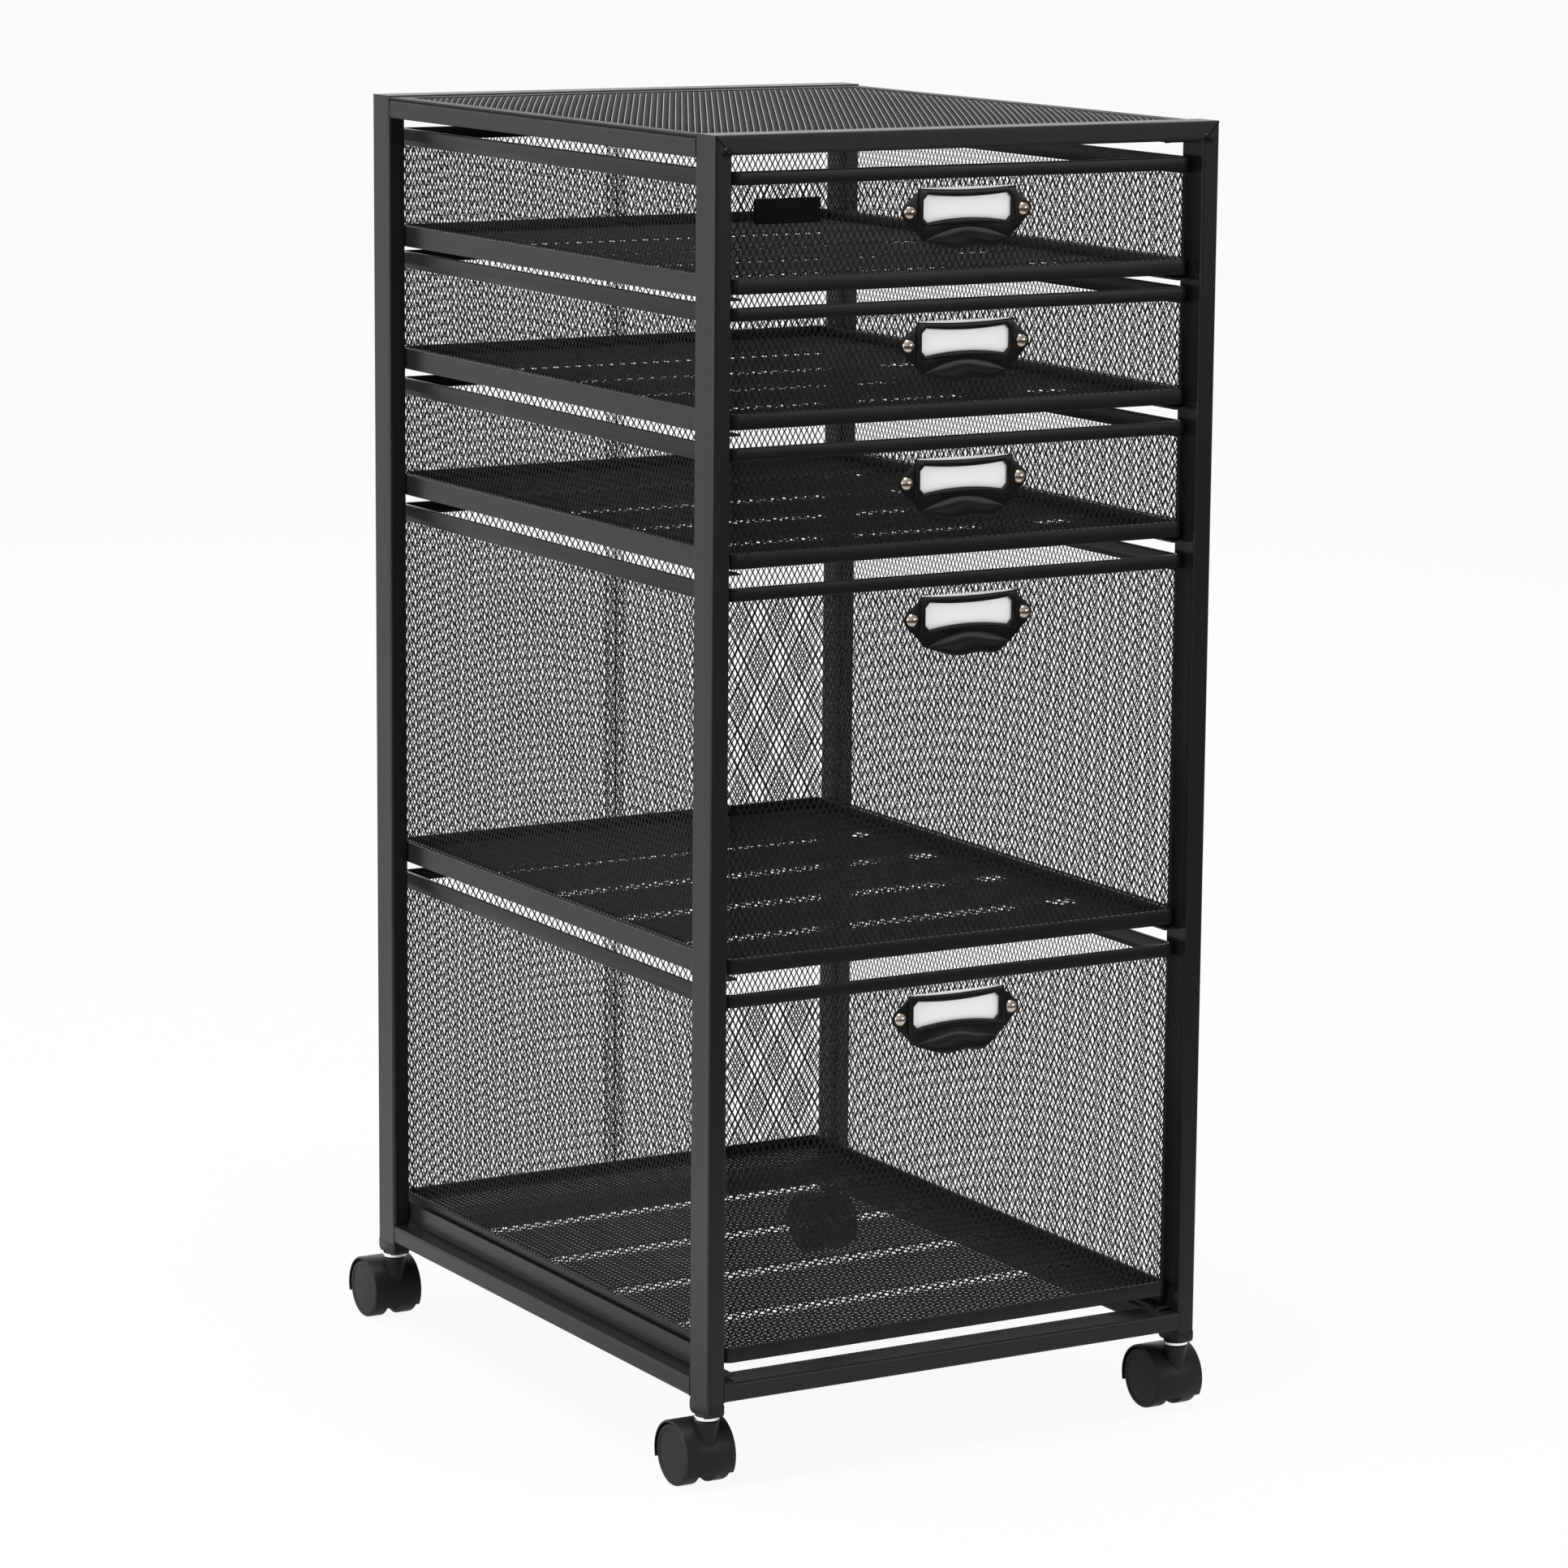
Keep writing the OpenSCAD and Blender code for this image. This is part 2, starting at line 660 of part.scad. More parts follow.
module drawer_rivets(i) {
    color("#c9c4bc") at_rivets(i) {
        translate([0, -pull_t, 0]) rotate([90, 0, 0]) dome(rivet_r, rivet_h);
        prism_y(-pull_t - tiny, mesh_t + 1) circle(shank_r);
        prism_y(mesh_t, mesh_t + 1) circle(rivet_r);
    }
}

module badge_plate() {
    plate_z = drawer_z[0] + drawer_h[0] - plate_drop;
    color("#161618")
        translate([plate_x, shift_y + wall_front - badge_t, plate_z - badge_h / 2])
        cube([badge_w, badge_t, badge_h]);
}

// ---- Casters: each module draws about the stem axis on the floor ----

module at_caster(c) {
    translate([c[0] * stem_x, shift_y + c[1] * stem_y, 0]) children();
}

// A solid turned about the axle, from an outline of radius over x
module turned(x) {
    translate([x, trail, axle_z]) rotate([0, 90, 0]) rotate_extrude() children();
}

module caster_housing(c) {
    color("#202022") at_caster(c) difference() {
        intersection() {
            union() {
                difference() {
                    axle_cylinder(hood_r, hood_half);
                    axle_cylinder(hood_in_r, hood_half + 1);
                }
                axle_cylinder(hood_in_r + tiny, web_half);
                difference() {
                    translate([0, 0, boss_foot_z])
                        cylinder(r1 = boss_foot_r, r2 = boss_top_r, h = boss_top_z - boss_foot_z);
                    axle_cylinder(hood_in_r, hood_half);
                }
            }
            prism_x(-hood_half - 1, hood_half + 1) polygon([
                [trail - 2 * hood_r, axle_z - skirt_front],
                [trail - hood_in_r, axle_z - skirt_front],
                [trail + hood_in_r, axle_z - skirt_rear],
                [trail + 2 * hood_r, axle_z - skirt_rear],
                [trail + 2 * hood_r, post_end_z],
                [trail - 2 * hood_r, post_end_z]
            ]);
        }
        axle_cylinder(axle_r + axle_gap, web_half + 1);
        translate([0, 0, boss_top_z - stem_down - side_gap])
            cylinder(r = stem_r + stem_gap, h = stem_down + side_gap + 1);
    }
}

module axle_cylinder(r, half) {
    translate([0, trail, axle_z]) rotate([0, 90, 0]) cylinder(r = r, h = 2 * half, center = true);
}

module caster_axle(c) {
    color("#b9b9bb") at_caster(c) axle_cylinder(axle_r, wheel_x + bore_depth - side_gap);
}

module caster_wheel(c, sx) {
    disc_x = wheel_w - wheel_wall;
    color("#1d1d1f") at_caster(c) mirror([sx > 0 ? 0 : 1, 0, 0]) turned(wheel_x)
        difference() {
            union() {
                square([wheel_r, wheel_w - wheel_edge]);
                square([wheel_r - wheel_edge, wheel_w]);
                translate([wheel_r - wheel_edge, wheel_w - wheel_edge]) intersection() {
                    circle(wheel_edge);
                    square(wheel_edge);
                }
            }
            translate([hub_r, -1]) square([wheel_r - wheel_wall - hub_r, disc_x + 1]);
            translate([0, -1]) square([axle_r + axle_gap, bore_depth + 1]);
        }
}

module caster_stems() {
    color("#d8dadc") for (c = corners) at_caster(c) {
        translate([0, 0, collar_z]) cylinder(r = collar_r, h = collar_t);
        translate([0, 0, boss_top_z - stem_down])
            cylinder(r = stem_r, h = collar_z + collar_t + stem_up - (boss_top_z - stem_down));
    }
}

module post_sockets() {
    inner_a = tube_face - 2 * tube_wall - 2 * socket_gap;
    inner_b = tube_depth - 2 * tube_wall - 2 * socket_gap;
    color("#242426") for (c = corners) at_caster(c) difference() {
        union() {
            intersection() {
                translate([0, 0, socket_z]) linear_extrude(socket_h)
                    rounded(tube_face, tube_depth, tube_corner);
                prism_x(-tube_face, tube_face)
                    translate([0, socket_z + socket_h]) rounded(tube_depth, 2 * socket_h, socket_round);
            }
            translate([0, 0, post_end_z - tiny]) linear_extrude(socket_in)
                rounded(inner_a, inner_b, tube_corner - tube_wall);
        }
        translate([0, 0, socket_z - 1])
            cylinder(r = stem_r + stem_gap, h = stem_up + side_gap + 1);
    }
}

// ---- Assembly ----

for (k = [0:3]) {
    frame_post(corners[k]);
}
top_rails();
bottom_rails();
corner_bosses();
top_mesh();
top_mesh_hem();
runners(-1);  // runners_left
runners(1);  // runners_right
post_sockets();
caster_stems();
badge_plate();
for (i = drawer_numbers) {
    drawer_rims(i);
    drawer_walls(i);
    drawer_floor(i);
    drawer_label_pull(i);
    drawer_label_card(i);
    drawer_rivets(i);
}
for (k = [0:3]) {
    caster = str(corner_names[k], "_caster_");
    caster_housing(corners[k]);
    caster_axle(corners[k]);
    caster_wheel(corners[k], -1);
    caster_wheel(corners[k], 1);
}
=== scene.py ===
# %% [markdown]
# # A rolling drawer cart in powder-coated steel
# The cart is an open frame of flat tube with five drawers of expanded metal. The packed
# CAD model gives every size and every moving body, and this lesson dresses it: real
# diamond mesh, folded rims, pressed label pulls, twin-wheel casters and the finishes.

# %% Load the frame
import math
import random

import bmesh
import bpy
from mathutils import Matrix, Vector


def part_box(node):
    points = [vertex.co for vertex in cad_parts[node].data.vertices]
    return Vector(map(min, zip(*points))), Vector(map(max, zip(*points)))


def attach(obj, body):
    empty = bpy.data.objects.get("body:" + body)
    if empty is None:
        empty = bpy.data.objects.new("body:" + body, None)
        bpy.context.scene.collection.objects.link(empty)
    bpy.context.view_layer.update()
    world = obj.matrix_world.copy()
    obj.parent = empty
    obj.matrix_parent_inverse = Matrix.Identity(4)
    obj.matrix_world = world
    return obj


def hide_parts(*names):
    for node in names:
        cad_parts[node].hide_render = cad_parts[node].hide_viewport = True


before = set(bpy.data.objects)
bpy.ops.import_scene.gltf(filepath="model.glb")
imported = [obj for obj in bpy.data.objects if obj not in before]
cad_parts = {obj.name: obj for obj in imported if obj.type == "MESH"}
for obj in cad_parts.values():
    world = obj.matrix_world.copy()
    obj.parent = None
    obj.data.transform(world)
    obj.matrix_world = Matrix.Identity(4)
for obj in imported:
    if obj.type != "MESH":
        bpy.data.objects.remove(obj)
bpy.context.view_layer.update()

# %% [markdown]
# ## Measures
# Blender works in metres, but a maker thinks of this cart in millimetres. Every bmesh below is
# drawn in millimetres and shrunk once, when it becomes a piece.

# %% Read the boxes of the CAD nodes in millimetres
MM = 0.001


def node_box(node):
    low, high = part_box(node)
    return low / MM, high / MM


def node_middle(node):
    low, high = node_box(node)
    return (low + high) / 2


DRAWERS = range(1, 6)
CORNERS = ["front_left", "front_right", "rear_left", "rear_right"]
post_low, post_high = node_box("front_left_post")
rear_corner = node_box("rear_right_post")[1]
FRAME_FRONT, FRAME_REAR, FRAME_SIDE = post_low.y, rear_corner.y, rear_corner.x
TUBE_FACE = post_high.x - post_low.x
TUBE_DEPTH = post_high.y - post_low.y
POST_FOOT, FRAME_TOP = post_low.z, post_high.z
MIDDLE_Y = (FRAME_FRONT + FRAME_REAR) / 2
print("frame", 2 * FRAME_SIDE, "x", FRAME_REAR - FRAME_FRONT, "top at", FRAME_TOP)

# %% [markdown]
# ## Turning a bmesh into a piece
# Each piece ends the same way: normals outward, millimetres to metres, smooth faces with
# sharp edges kept, a material, and a place on a body of the CAD model.


# %% A helper that finishes a piece
def add_object(name, data):
    obj = bpy.data.objects.new(name, data)
    bpy.context.scene.collection.objects.link(obj)
    return obj


def finish_piece(bm, name, body, material, stands_for=(), smooth=35, recalc=True):
    if recalc:
        bmesh.ops.remove_doubles(bm, verts=bm.verts[:], dist=0.001)
        bmesh.ops.recalc_face_normals(bm, faces=bm.faces[:])
    bmesh.ops.scale(bm, vec=(MM, MM, MM), verts=bm.verts[:])
    mesh = bpy.data.meshes.new(name)
    bm.to_mesh(mesh)
    bm.free()
    mesh.polygons.foreach_set("use_smooth", [smooth > 0] * len(mesh.polygons))
    if smooth:
        mesh.set_sharp_from_angle(angle=math.radians(smooth))
    mesh.materials.append(material)
    obj = add_object(name, mesh)
    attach(obj, body)
    if stands_for:
        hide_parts(*stands_for)
    return obj


# %% Helpers for moving, rounding and extruding
def shift(bm, way):
    bmesh.ops.translate(bm, vec=way, verts=bm.verts[:])


def soften(bm, geom, radius, segments, affect="EDGES", clamp=False):
    bmesh.ops.bevel(bm, geom=list(geom), offset=radius, segments=segments, profile=0.5,
                    affect=affect, material=-1, clamp_overlap=clamp)


def extrude(bm, faces, way):
    """Extrudes faces, moves the new end, and returns all that has grown."""
    grown = bmesh.ops.extrude_face_region(bm, geom=faces)["geom"]
    verts = [g for g in grown if isinstance(g, bmesh.types.BMVert)]
    bmesh.ops.translate(bm, vec=way, verts=verts)
    return grown


def add_box(bm, low, high, radius=0.0, segments=2):
    """A block between two corners, with its edges rounded when a radius is given."""
    low, high = Vector(low), Vector(high)
    verts = bmesh.ops.create_cube(bm, size=1.0)["verts"]
    bmesh.ops.scale(bm, vec=high - low, verts=verts)
    bmesh.ops.translate(bm, vec=(low + high) / 2, verts=verts)
    if radius:
        edges = {e for v in verts for e in v.link_edges}
        soften(bm, edges, radius, segments)


# %% Helpers for turned shapes and for joining shapes
def lathe(outline, steps=40):
    """Spins an outline of (radius, height) about Z and closes it at its poles."""
    part = bmesh.new()
    verts = [part.verts.new((radius, 0, height)) for radius, height in outline]
    edges = [part.edges.new(pair) for pair in zip(verts, verts[1:])]
    bmesh.ops.spin(part, geom=verts + edges, cent=(0, 0, 0), axis=(0, 0, 1), angle=math.tau,
                   steps=steps, use_merge=True)
    bmesh.ops.remove_doubles(part, verts=part.verts[:], dist=0.0005)
    return part


def dome_outline(radius, height, skirt, rings=7):
    """Half the outline of a domed button, from its crown to the middle of its underside."""
    ball = (radius * radius + height * height) / (2 * height)
    widest = math.asin(radius / ball)
    crown = []
    for step in range(rings + 1):
        angle = widest * step / rings
        crown.append((ball * math.sin(angle), height - ball + ball * math.cos(angle)))
    return crown + [(radius * 0.97, -skirt), (0.0, -skirt)]


def merge_into(bm, part, place=(0, 0, 0), turn=None):
    """Turns one bmesh, moves it to its place, adds it to another and frees it."""
    if turn:
        bmesh.ops.rotate(part, cent=(0, 0, 0), matrix=turn, verts=part.verts[:])
    shift(part, place)
    carrier = bpy.data.meshes.new("carrier")
    part.to_mesh(carrier)
    bm.from_mesh(carrier)
    bpy.data.meshes.remove(carrier)
    part.free()


TO_FRONT = Matrix.Rotation(math.radians(90), 3, "X")
TO_REAR = Matrix.Rotation(math.radians(-90), 3, "X")


# %% [markdown]
# ## Finishes
# Almost everything is black powder coat, so the finishes have to differ in small ways: how
# fine the grain is, how much the paint shines, and where dust or handling has dulled it. The
# dust on the drawer floors and the top panel is also painted light from above.
# Two shader groups carry these effects, and each material sets their sockets.


# %% Build a group socket by socket
def new_group(name, inputs, outputs):
    group = bpy.data.node_groups.new(name, "ShaderNodeTree")
    for label, kind, value in inputs:
        socket = group.interface.new_socket(name=label, in_out="INPUT", socket_type=kind)
        socket.default_value = value
    for label, kind in outputs:
        group.interface.new_socket(name=label, in_out="OUTPUT", socket_type=kind)
    start = group.nodes.new("NodeGroupInput")
    end = group.nodes.new("NodeGroupOutput")
    return group, start, end


def add_node(tree, kind, **settings):
    node = tree.nodes.new(kind)
    for key, value in settings.items():
        if key in node.inputs:
            node.inputs[key].default_value = value
        else:
            setattr(node, key, value)
    return node


def math_node(tree, operation, a, b=None, clamp=False):
    node = tree.nodes.new("ShaderNodeMath")
    node.operation = operation
    node.use_clamp = clamp
    for index, value in enumerate([a, b]):
        if value is None:
            continue
        if isinstance(value, (int, float)):
            node.inputs[index].default_value = value
        else:
            tree.links.new(value, node.inputs[index])
    return node.outputs[0]


def map_node(tree, value, source, target=(0.0, 1.0)):
    node = tree.nodes.new("ShaderNodeMapRange")
    tree.links.new(value, node.inputs["Value"])
    node.inputs["From Min"].default_value, node.inputs["From Max"].default_value = source
    node.inputs["To Min"].default_value, node.inputs["To Max"].default_value = target
    return node.outputs["Result"]


def mix_colours(tree, share, first, second):
    """Sockets 6 and 7 of a Mix node are its colours, and its output 2 is their mix."""
    node = add_node(tree, "ShaderNodeMix", data_type="RGBA")
    for index, value in ((0, share), (6, first), (7, second)):
        tree.links.new(value, node.inputs[index])
    return node.outputs[2]


def set_sockets(node, values):
    for label, value in values.items():
        node.inputs[label].default_value = value


# %% The grain group: the orange-peel skin of a sprayed or moulded surface
PEEL_SCALE, PATCH_SCALE = 260.0, 22.0


def build_grain_group():
    group, start, end = new_group(
        "coat grain",
        [("Grain Size", "NodeSocketFloat", 1600.0), ("Waviness", "NodeSocketFloat", 0.35),
         ("Colour", "NodeSocketColor", (0.01, 0.01, 0.01, 1)),
         ("Colour Change", "NodeSocketFloat", 0.2), ("Roughness", "NodeSocketFloat", 0.45),
         ("Roughness Change", "NodeSocketFloat", 0.08)],
        [("Colour", "NodeSocketColor"), ("Roughness", "NodeSocketFloat"),
         ("Height", "NodeSocketFloat")])
    link = group.links.new
    place = add_node(group, "ShaderNodeTexCoord")
    fine = add_node(group, "ShaderNodeTexNoise", Detail=2.0)
    peel = add_node(group, "ShaderNodeTexNoise", Scale=PEEL_SCALE, Detail=1.0)
    patches = add_node(group, "ShaderNodeTexNoise", Scale=PATCH_SCALE, Detail=3.0)
    link(start.outputs["Grain Size"], fine.inputs["Scale"])
    for texture in (fine, peel, patches):
        link(place.outputs["Object"], texture.inputs["Vector"])
    wave = math_node(group, "MULTIPLY", peel.outputs["Fac"], start.outputs["Waviness"])
    height = math_node(group, "ADD", fine.outputs["Fac"], wave)
    link(height, end.inputs["Height"])
    # The colour and the gloss drift a little over the surface
    drift = math_node(group, "SUBTRACT", patches.outputs["Fac"], 0.5)
    speck = math_node(group, "SUBTRACT", fine.outputs["Fac"], 0.5)
    both = math_node(group, "ADD", drift, speck)
    scaled = math_node(group, "MULTIPLY", both, start.outputs["Colour Change"])
    factor = math_node(group, "ADD", scaled, 1.0)
    tint = add_node(group, "ShaderNodeVectorMath", operation="SCALE")
    link(start.outputs["Colour"], tint.inputs[0])
    link(factor, tint.inputs["Scale"])
    link(tint.outputs["Vector"], end.inputs["Colour"])
    change = math_node(group, "MULTIPLY", drift, start.outputs["Roughness Change"])
    rough = math_node(group, "ADD", change, start.outputs["Roughness"], clamp=True)
    link(rough, end.inputs["Roughness"])
    return group


# %% The wear group: dust on what faces up, which also serves as painted light from above, and rubbed paint on the edges
SPOT_SCALE = 90.0
SHARP_EDGE = (0.52, 0.62)


def build_wear_group():
    group, start, end = new_group(
        "edge wear, dusting and top light",
        [("Colour", "NodeSocketColor", (0.01, 0.01, 0.01, 1)),
         ("Edge Colour", "NodeSocketColor", (0.05, 0.05, 0.05, 1)),
         ("Edge Amount", "NodeSocketFloat", 0.3),
         ("Dusting And Top Light Colour", "NodeSocketColor", (0.25, 0.24, 0.22, 1)),
         ("Dusting And Top Light Amount", "NodeSocketFloat", 0.03)],
        [("Colour", "NodeSocketColor"), ("Dusting And Top Light", "NodeSocketFloat")])
    link = group.links.new
    geometry = add_node(group, "ShaderNodeNewGeometry")
    place = add_node(group, "ShaderNodeTexCoord")
    spots = add_node(group, "ShaderNodeTexNoise", Scale=SPOT_SCALE, Detail=4.0)
    link(place.outputs["Object"], spots.inputs["Vector"])
    sharp = map_node(group, geometry.outputs["Pointiness"], SHARP_EDGE)
    edge = math_node(group, "MULTIPLY", sharp, start.outputs["Edge Amount"])
    worn = mix_colours(group, edge, start.outputs["Colour"], start.outputs["Edge Colour"])
    split = add_node(group, "ShaderNodeSeparateXYZ")
    link(geometry.outputs["Normal"], split.inputs[0])
    upward = math_node(group, "MAXIMUM", split.outputs["Z"], 0.0)
    broken = math_node(group, "MULTIPLY", upward, spots.outputs["Fac"])
    # The dust mask lightens what faces up: real dust where it is faint, painted top light where it
    # is strong
    dust_and_top_light = math_node(group, "MULTIPLY", broken, start.outputs["Dusting And Top Light Amount"], clamp=True)
    dusty_and_top_lit = mix_colours(group, dust_and_top_light, worn, start.outputs["Dusting And Top Light Colour"])
    link(dusty_and_top_lit, end.inputs["Colour"])
    link(dust_and_top_light, end.inputs["Dusting And Top Light"])
    return group


GRAIN = build_grain_group()
WEAR = build_wear_group()
print("shader groups:", GRAIN.name, "and", WEAR.name)


# %% One recipe for every coated or moulded finish
def coated(name, colour, roughness, grain=1600.0, bump=0.12, depth=0.02, waviness=0.35,
           change=0.2, edge=0.3, dust_and_top_light=0.02, metallic=0.0, specular=0.18,
           edge_colour=(0.03, 0.03, 0.032)):
    material = bpy.data.materials.new(name)
    material.use_nodes = True
    tree = material.node_tree
    link = tree.links.new
    shader = tree.nodes["Principled BSDF"]
    skin = add_node(tree, "ShaderNodeGroup", node_tree=GRAIN)
    set_sockets(skin, {"Grain Size": grain, "Waviness": waviness, "Colour": (*colour, 1),
                       "Colour Change": change, "Roughness": roughness})
    wear = add_node(tree, "ShaderNodeGroup", node_tree=WEAR)
    set_sockets(wear, {"Edge Colour": (*edge_colour, 1), "Edge Amount": edge,
                       "Dusting And Top Light Amount": dust_and_top_light})
    link(skin.outputs["Colour"], wear.inputs["Colour"])
    link(wear.outputs["Colour"], shader.inputs["Base Color"])
    link(skin.outputs["Roughness"], shader.inputs["Roughness"])
    relief = add_node(tree, "ShaderNodeBump", Strength=bump, Distance=depth * MM)
    link(skin.outputs["Height"], relief.inputs["Height"])
    link(relief.outputs["Normal"], shader.inputs["Normal"])
    set_sockets(shader, {"Metallic": metallic, "Specular IOR Level": specular})
    return material


# %% The cart's finishes
FRAME_PAINT = coated("frame powder coat", (0.0045, 0.0045, 0.005), 0.25, bump=0.5, depth=0.06)
# The top rails' coat is lighter than the frame's: painted light from above.
TOP_LIT_RAIL_PAINT = coated("top rail coat with painted top light", (0.008, 0.008, 0.0085), 0.46, bump=0.5, depth=0.06)
DRAWER_PAINT = coated("drawer powder coat", (0.0055, 0.0055, 0.006), 0.35, bump=0.35, depth=0.05)
MESH_PAINT = coated("mesh powder coat", (0.006, 0.006, 0.0065), 0.36, bump=0.2, depth=0.03,
                    edge=0.0, dust_and_top_light=0.03)
# The floor mesh's strong dust mask is mostly painted light: it lightens the strands' upward faces
# as light from above would.
FLOOR_PAINT = coated("floor mesh coat with painted top light", (0.006, 0.006, 0.0065), 0.36, bump=0.2,
                     depth=0.03, edge=0.0, dust_and_top_light=0.20, specular=0.22)
# The top panel's coat is lighter than the drawers' mesh: painted light from above.
TOP_LIT_PANEL_PAINT = coated("top mesh coat with painted top light", (0.012, 0.012, 0.0125), 0.34, bump=0.2, depth=0.03,
                   edge=0.0, dust_and_top_light=0.12, specular=0.4)
# The hem's coat is lighter than the frame's: painted light from above.
TOP_LIT_HEM_PAINT = coated("hem coat with painted top light", (0.012, 0.012, 0.0125), 0.55, bump=0.4, depth=0.05,
                   edge=0.1, specular=0.10)
BOSS_PAINT = coated("filler button", (0.003, 0.003, 0.0032), 0.28, bump=0.3, depth=0.05,
                    edge=0.1, specular=0.16)
PULL_PAINT = coated("pull enamel", (0.0045, 0.0045, 0.005), 0.30, bump=0.25, depth=0.04, edge=0.3)
CASTER_PLASTIC = coated("caster nylon", (0.007, 0.007, 0.0075), 0.42, grain=1100.0, bump=0.6,
                        depth=0.10, edge=0.2)
WHEEL_PLASTIC = coated("wheel nylon", (0.008, 0.008, 0.0085), 0.50, grain=900.0, bump=0.7,
                       depth=0.10, dust_and_top_light=0.04)
BADGE_PLASTIC = coated("badge plastic", (0.0015, 0.0015, 0.0015), 0.45, bump=0.1, edge=0.1,
                       specular=0.02)
# The mitre grooves' shade is painted with this near-black coat that has no shine.
SEAM_SHADE = coated("painted mitre groove shade", (0.001, 0.001, 0.001), 0.9, bump=0.1, edge=0.0, dust_and_top_light=0.0,
                    specular=0.0)
ZINC = coated("zinc plate", (0.80, 0.81, 0.82), 0.22, grain=700.0, bump=0.15, metallic=1.0,
              edge=0.0, dust_and_top_light=0.0, change=0.06, specular=0.5)
# The rivets' dull, brownish colour is partly their warm metal and partly painted shade: darker
# than bright metal, it stands in for the dark parts that each dome mirrors.
RIVET_METAL = coated("rivet metal darkened as painted reflection", (0.50, 0.44, 0.38), 0.14, grain=900.0, bump=0.1,
                     metallic=1.0, edge=0.0, dust_and_top_light=0.0, change=0.08, specular=0.5)
AXLE_STEEL = coated("axle steel", (0.55, 0.55, 0.56), 0.3, metallic=1.0, edge=0.0, dust_and_top_light=0.0,
                    specular=0.5)
CARD_STOCK = coated("label card", (0.92, 0.92, 0.915), 0.75, grain=2600.0, bump=0.15,
                    change=0.03, edge=0.0, dust_and_top_light=0.0, specular=0.3)
print("materials:", len(bpy.data.materials))

# %% [markdown]
# ## The frame
# The tubes of the CAD model already have their true section, so they keep their shape and
# get the coat. What makes a welded frame look made is at its joints: a bead of weld where one
# tube ends on another, and at each front mitre a groove, whose shade is painted as a near-black
# strip, and a dome of filler. A bead is a row of small overlapping balls, which gives its
# ripples for a few dozen faces each.

# %% Coat the frame's tubes and runners
CAD_FINISH = {"top_rails": TOP_LIT_RAIL_PAINT, "bottom_rails": FRAME_PAINT,
              "runners_left": FRAME_PAINT, "runners_right": FRAME_PAINT}
for corner in CORNERS:
    CAD_FINISH[f"{corner}_post"] = FRAME_PAINT
    CAD_FINISH[f"{corner}_caster_axle"] = AXLE_STEEL
for node, material in CAD_FINISH.items():
    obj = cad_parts[node]
    obj.data.materials.clear()
    obj.data.materials.append(material)
print("coated", len(CAD_FINISH), "CAD nodes")


# %% Weld beads
WELD, FILLET, TACK, SPOT = 0.9, 0.7, 0.6, 0.5
DROP_PITCH, DROP_DRIFT, DROP_SIZES = 0.9, 0.12, (0.8, 1.1)


def add_weld(bm, start, end, radius, seed):
    """A row of small overlapping drops between two points, slightly uneven."""
    random.seed(seed)
    start, end = Vector(start), Vector(end)
    count = max(2, int((end - start).length / (radius * DROP_PITCH)))
    for step in range(count + 1):
        spot = start.lerp(end, step / count)
        spot += Vector([random.uniform(-DROP_DRIFT, DROP_DRIFT) * radius for _ in range(3)])
        drop = bmesh.ops.create_icosphere(bm, subdivisions=1, radius=1.0)["verts"]
        size = radius * random.uniform(*DROP_SIZES)
        bmesh.ops.scale(bm, vec=(size, size, size), verts=drop)
        bmesh.ops.translate(bm, vec=spot, verts=drop)


# %% Where the beads run
# Each bead sinks a little into the tube and keeps shy of the rails' edges
WELD_SINK, TACK_SINK, SPOT_SINK, FACE_SINK = 0.35, 0.3, 0.2, 0.5
RAIL_SHY, FOOT_SHY, HEAD_SHY, FILLET_FALL = 1.0, 0.6, 0.8, 0.6
SPOT_HALF, SPOT_DROP, SPOT_RISE = 1.2, 1.2, 0.2
TACK_HEAD, TACK_FOOT, TACK_SHY, TACK_LEAN = 9.1, 4.7, 1.0, 0.6
FILLET_SEEDS, SPOT_SEED = 50, 90

welds = bmesh.new()
inner_x = FRAME_SIDE - TUBE_FACE
rail_low, rail_high = node_box("bottom_rails")
side_top = node_box("top_mesh_hem")[0].z
rail_spans = [(rail_low.z + RAIL_SHY, rail_high.z - RAIL_SHY),
              (side_top - TUBE_FACE + RAIL_SHY, side_top - FOOT_SHY)]
weld_seed = 1
for sx in (-1, 1):
    x = sx * (FRAME_SIDE - WELD_SINK)
    for y in (FRAME_FRONT + TUBE_DEPTH, FRAME_REAR - TUBE_DEPTH):
        for z0, z1 in rail_spans:
            weld_seed += 1
            add_weld(welds, (x, y, z0), (x, y, z1), WELD, weld_seed)
            add_weld(welds, (sx * inner_x, y, z0),
                     (sx * (FRAME_SIDE - TUBE_DEPTH), y, z0 - FILLET_FALL),
                     FILLET, weld_seed + FILLET_SEEDS)
    for y in (FRAME_FRONT + FACE_SINK, FRAME_REAR - FACE_SINK):
        weld_seed += 1
        add_weld(welds, (sx * inner_x, y, rail_low.z + FOOT_SHY),
                 (sx * inner_x, y, rail_high.z - HEAD_SHY), FILLET, weld_seed)
# One spot weld shows on the outside of each side top rail
for sx in (-1, 1):
    x, z = sx * (FRAME_SIDE - SPOT_SINK), side_top - SPOT_DROP
    add_weld(welds, (x, MIDDLE_Y - SPOT_HALF, z), (x, MIDDLE_Y + SPOT_HALF, z + SPOT_RISE),
             SPOT, SPOT_SEED)
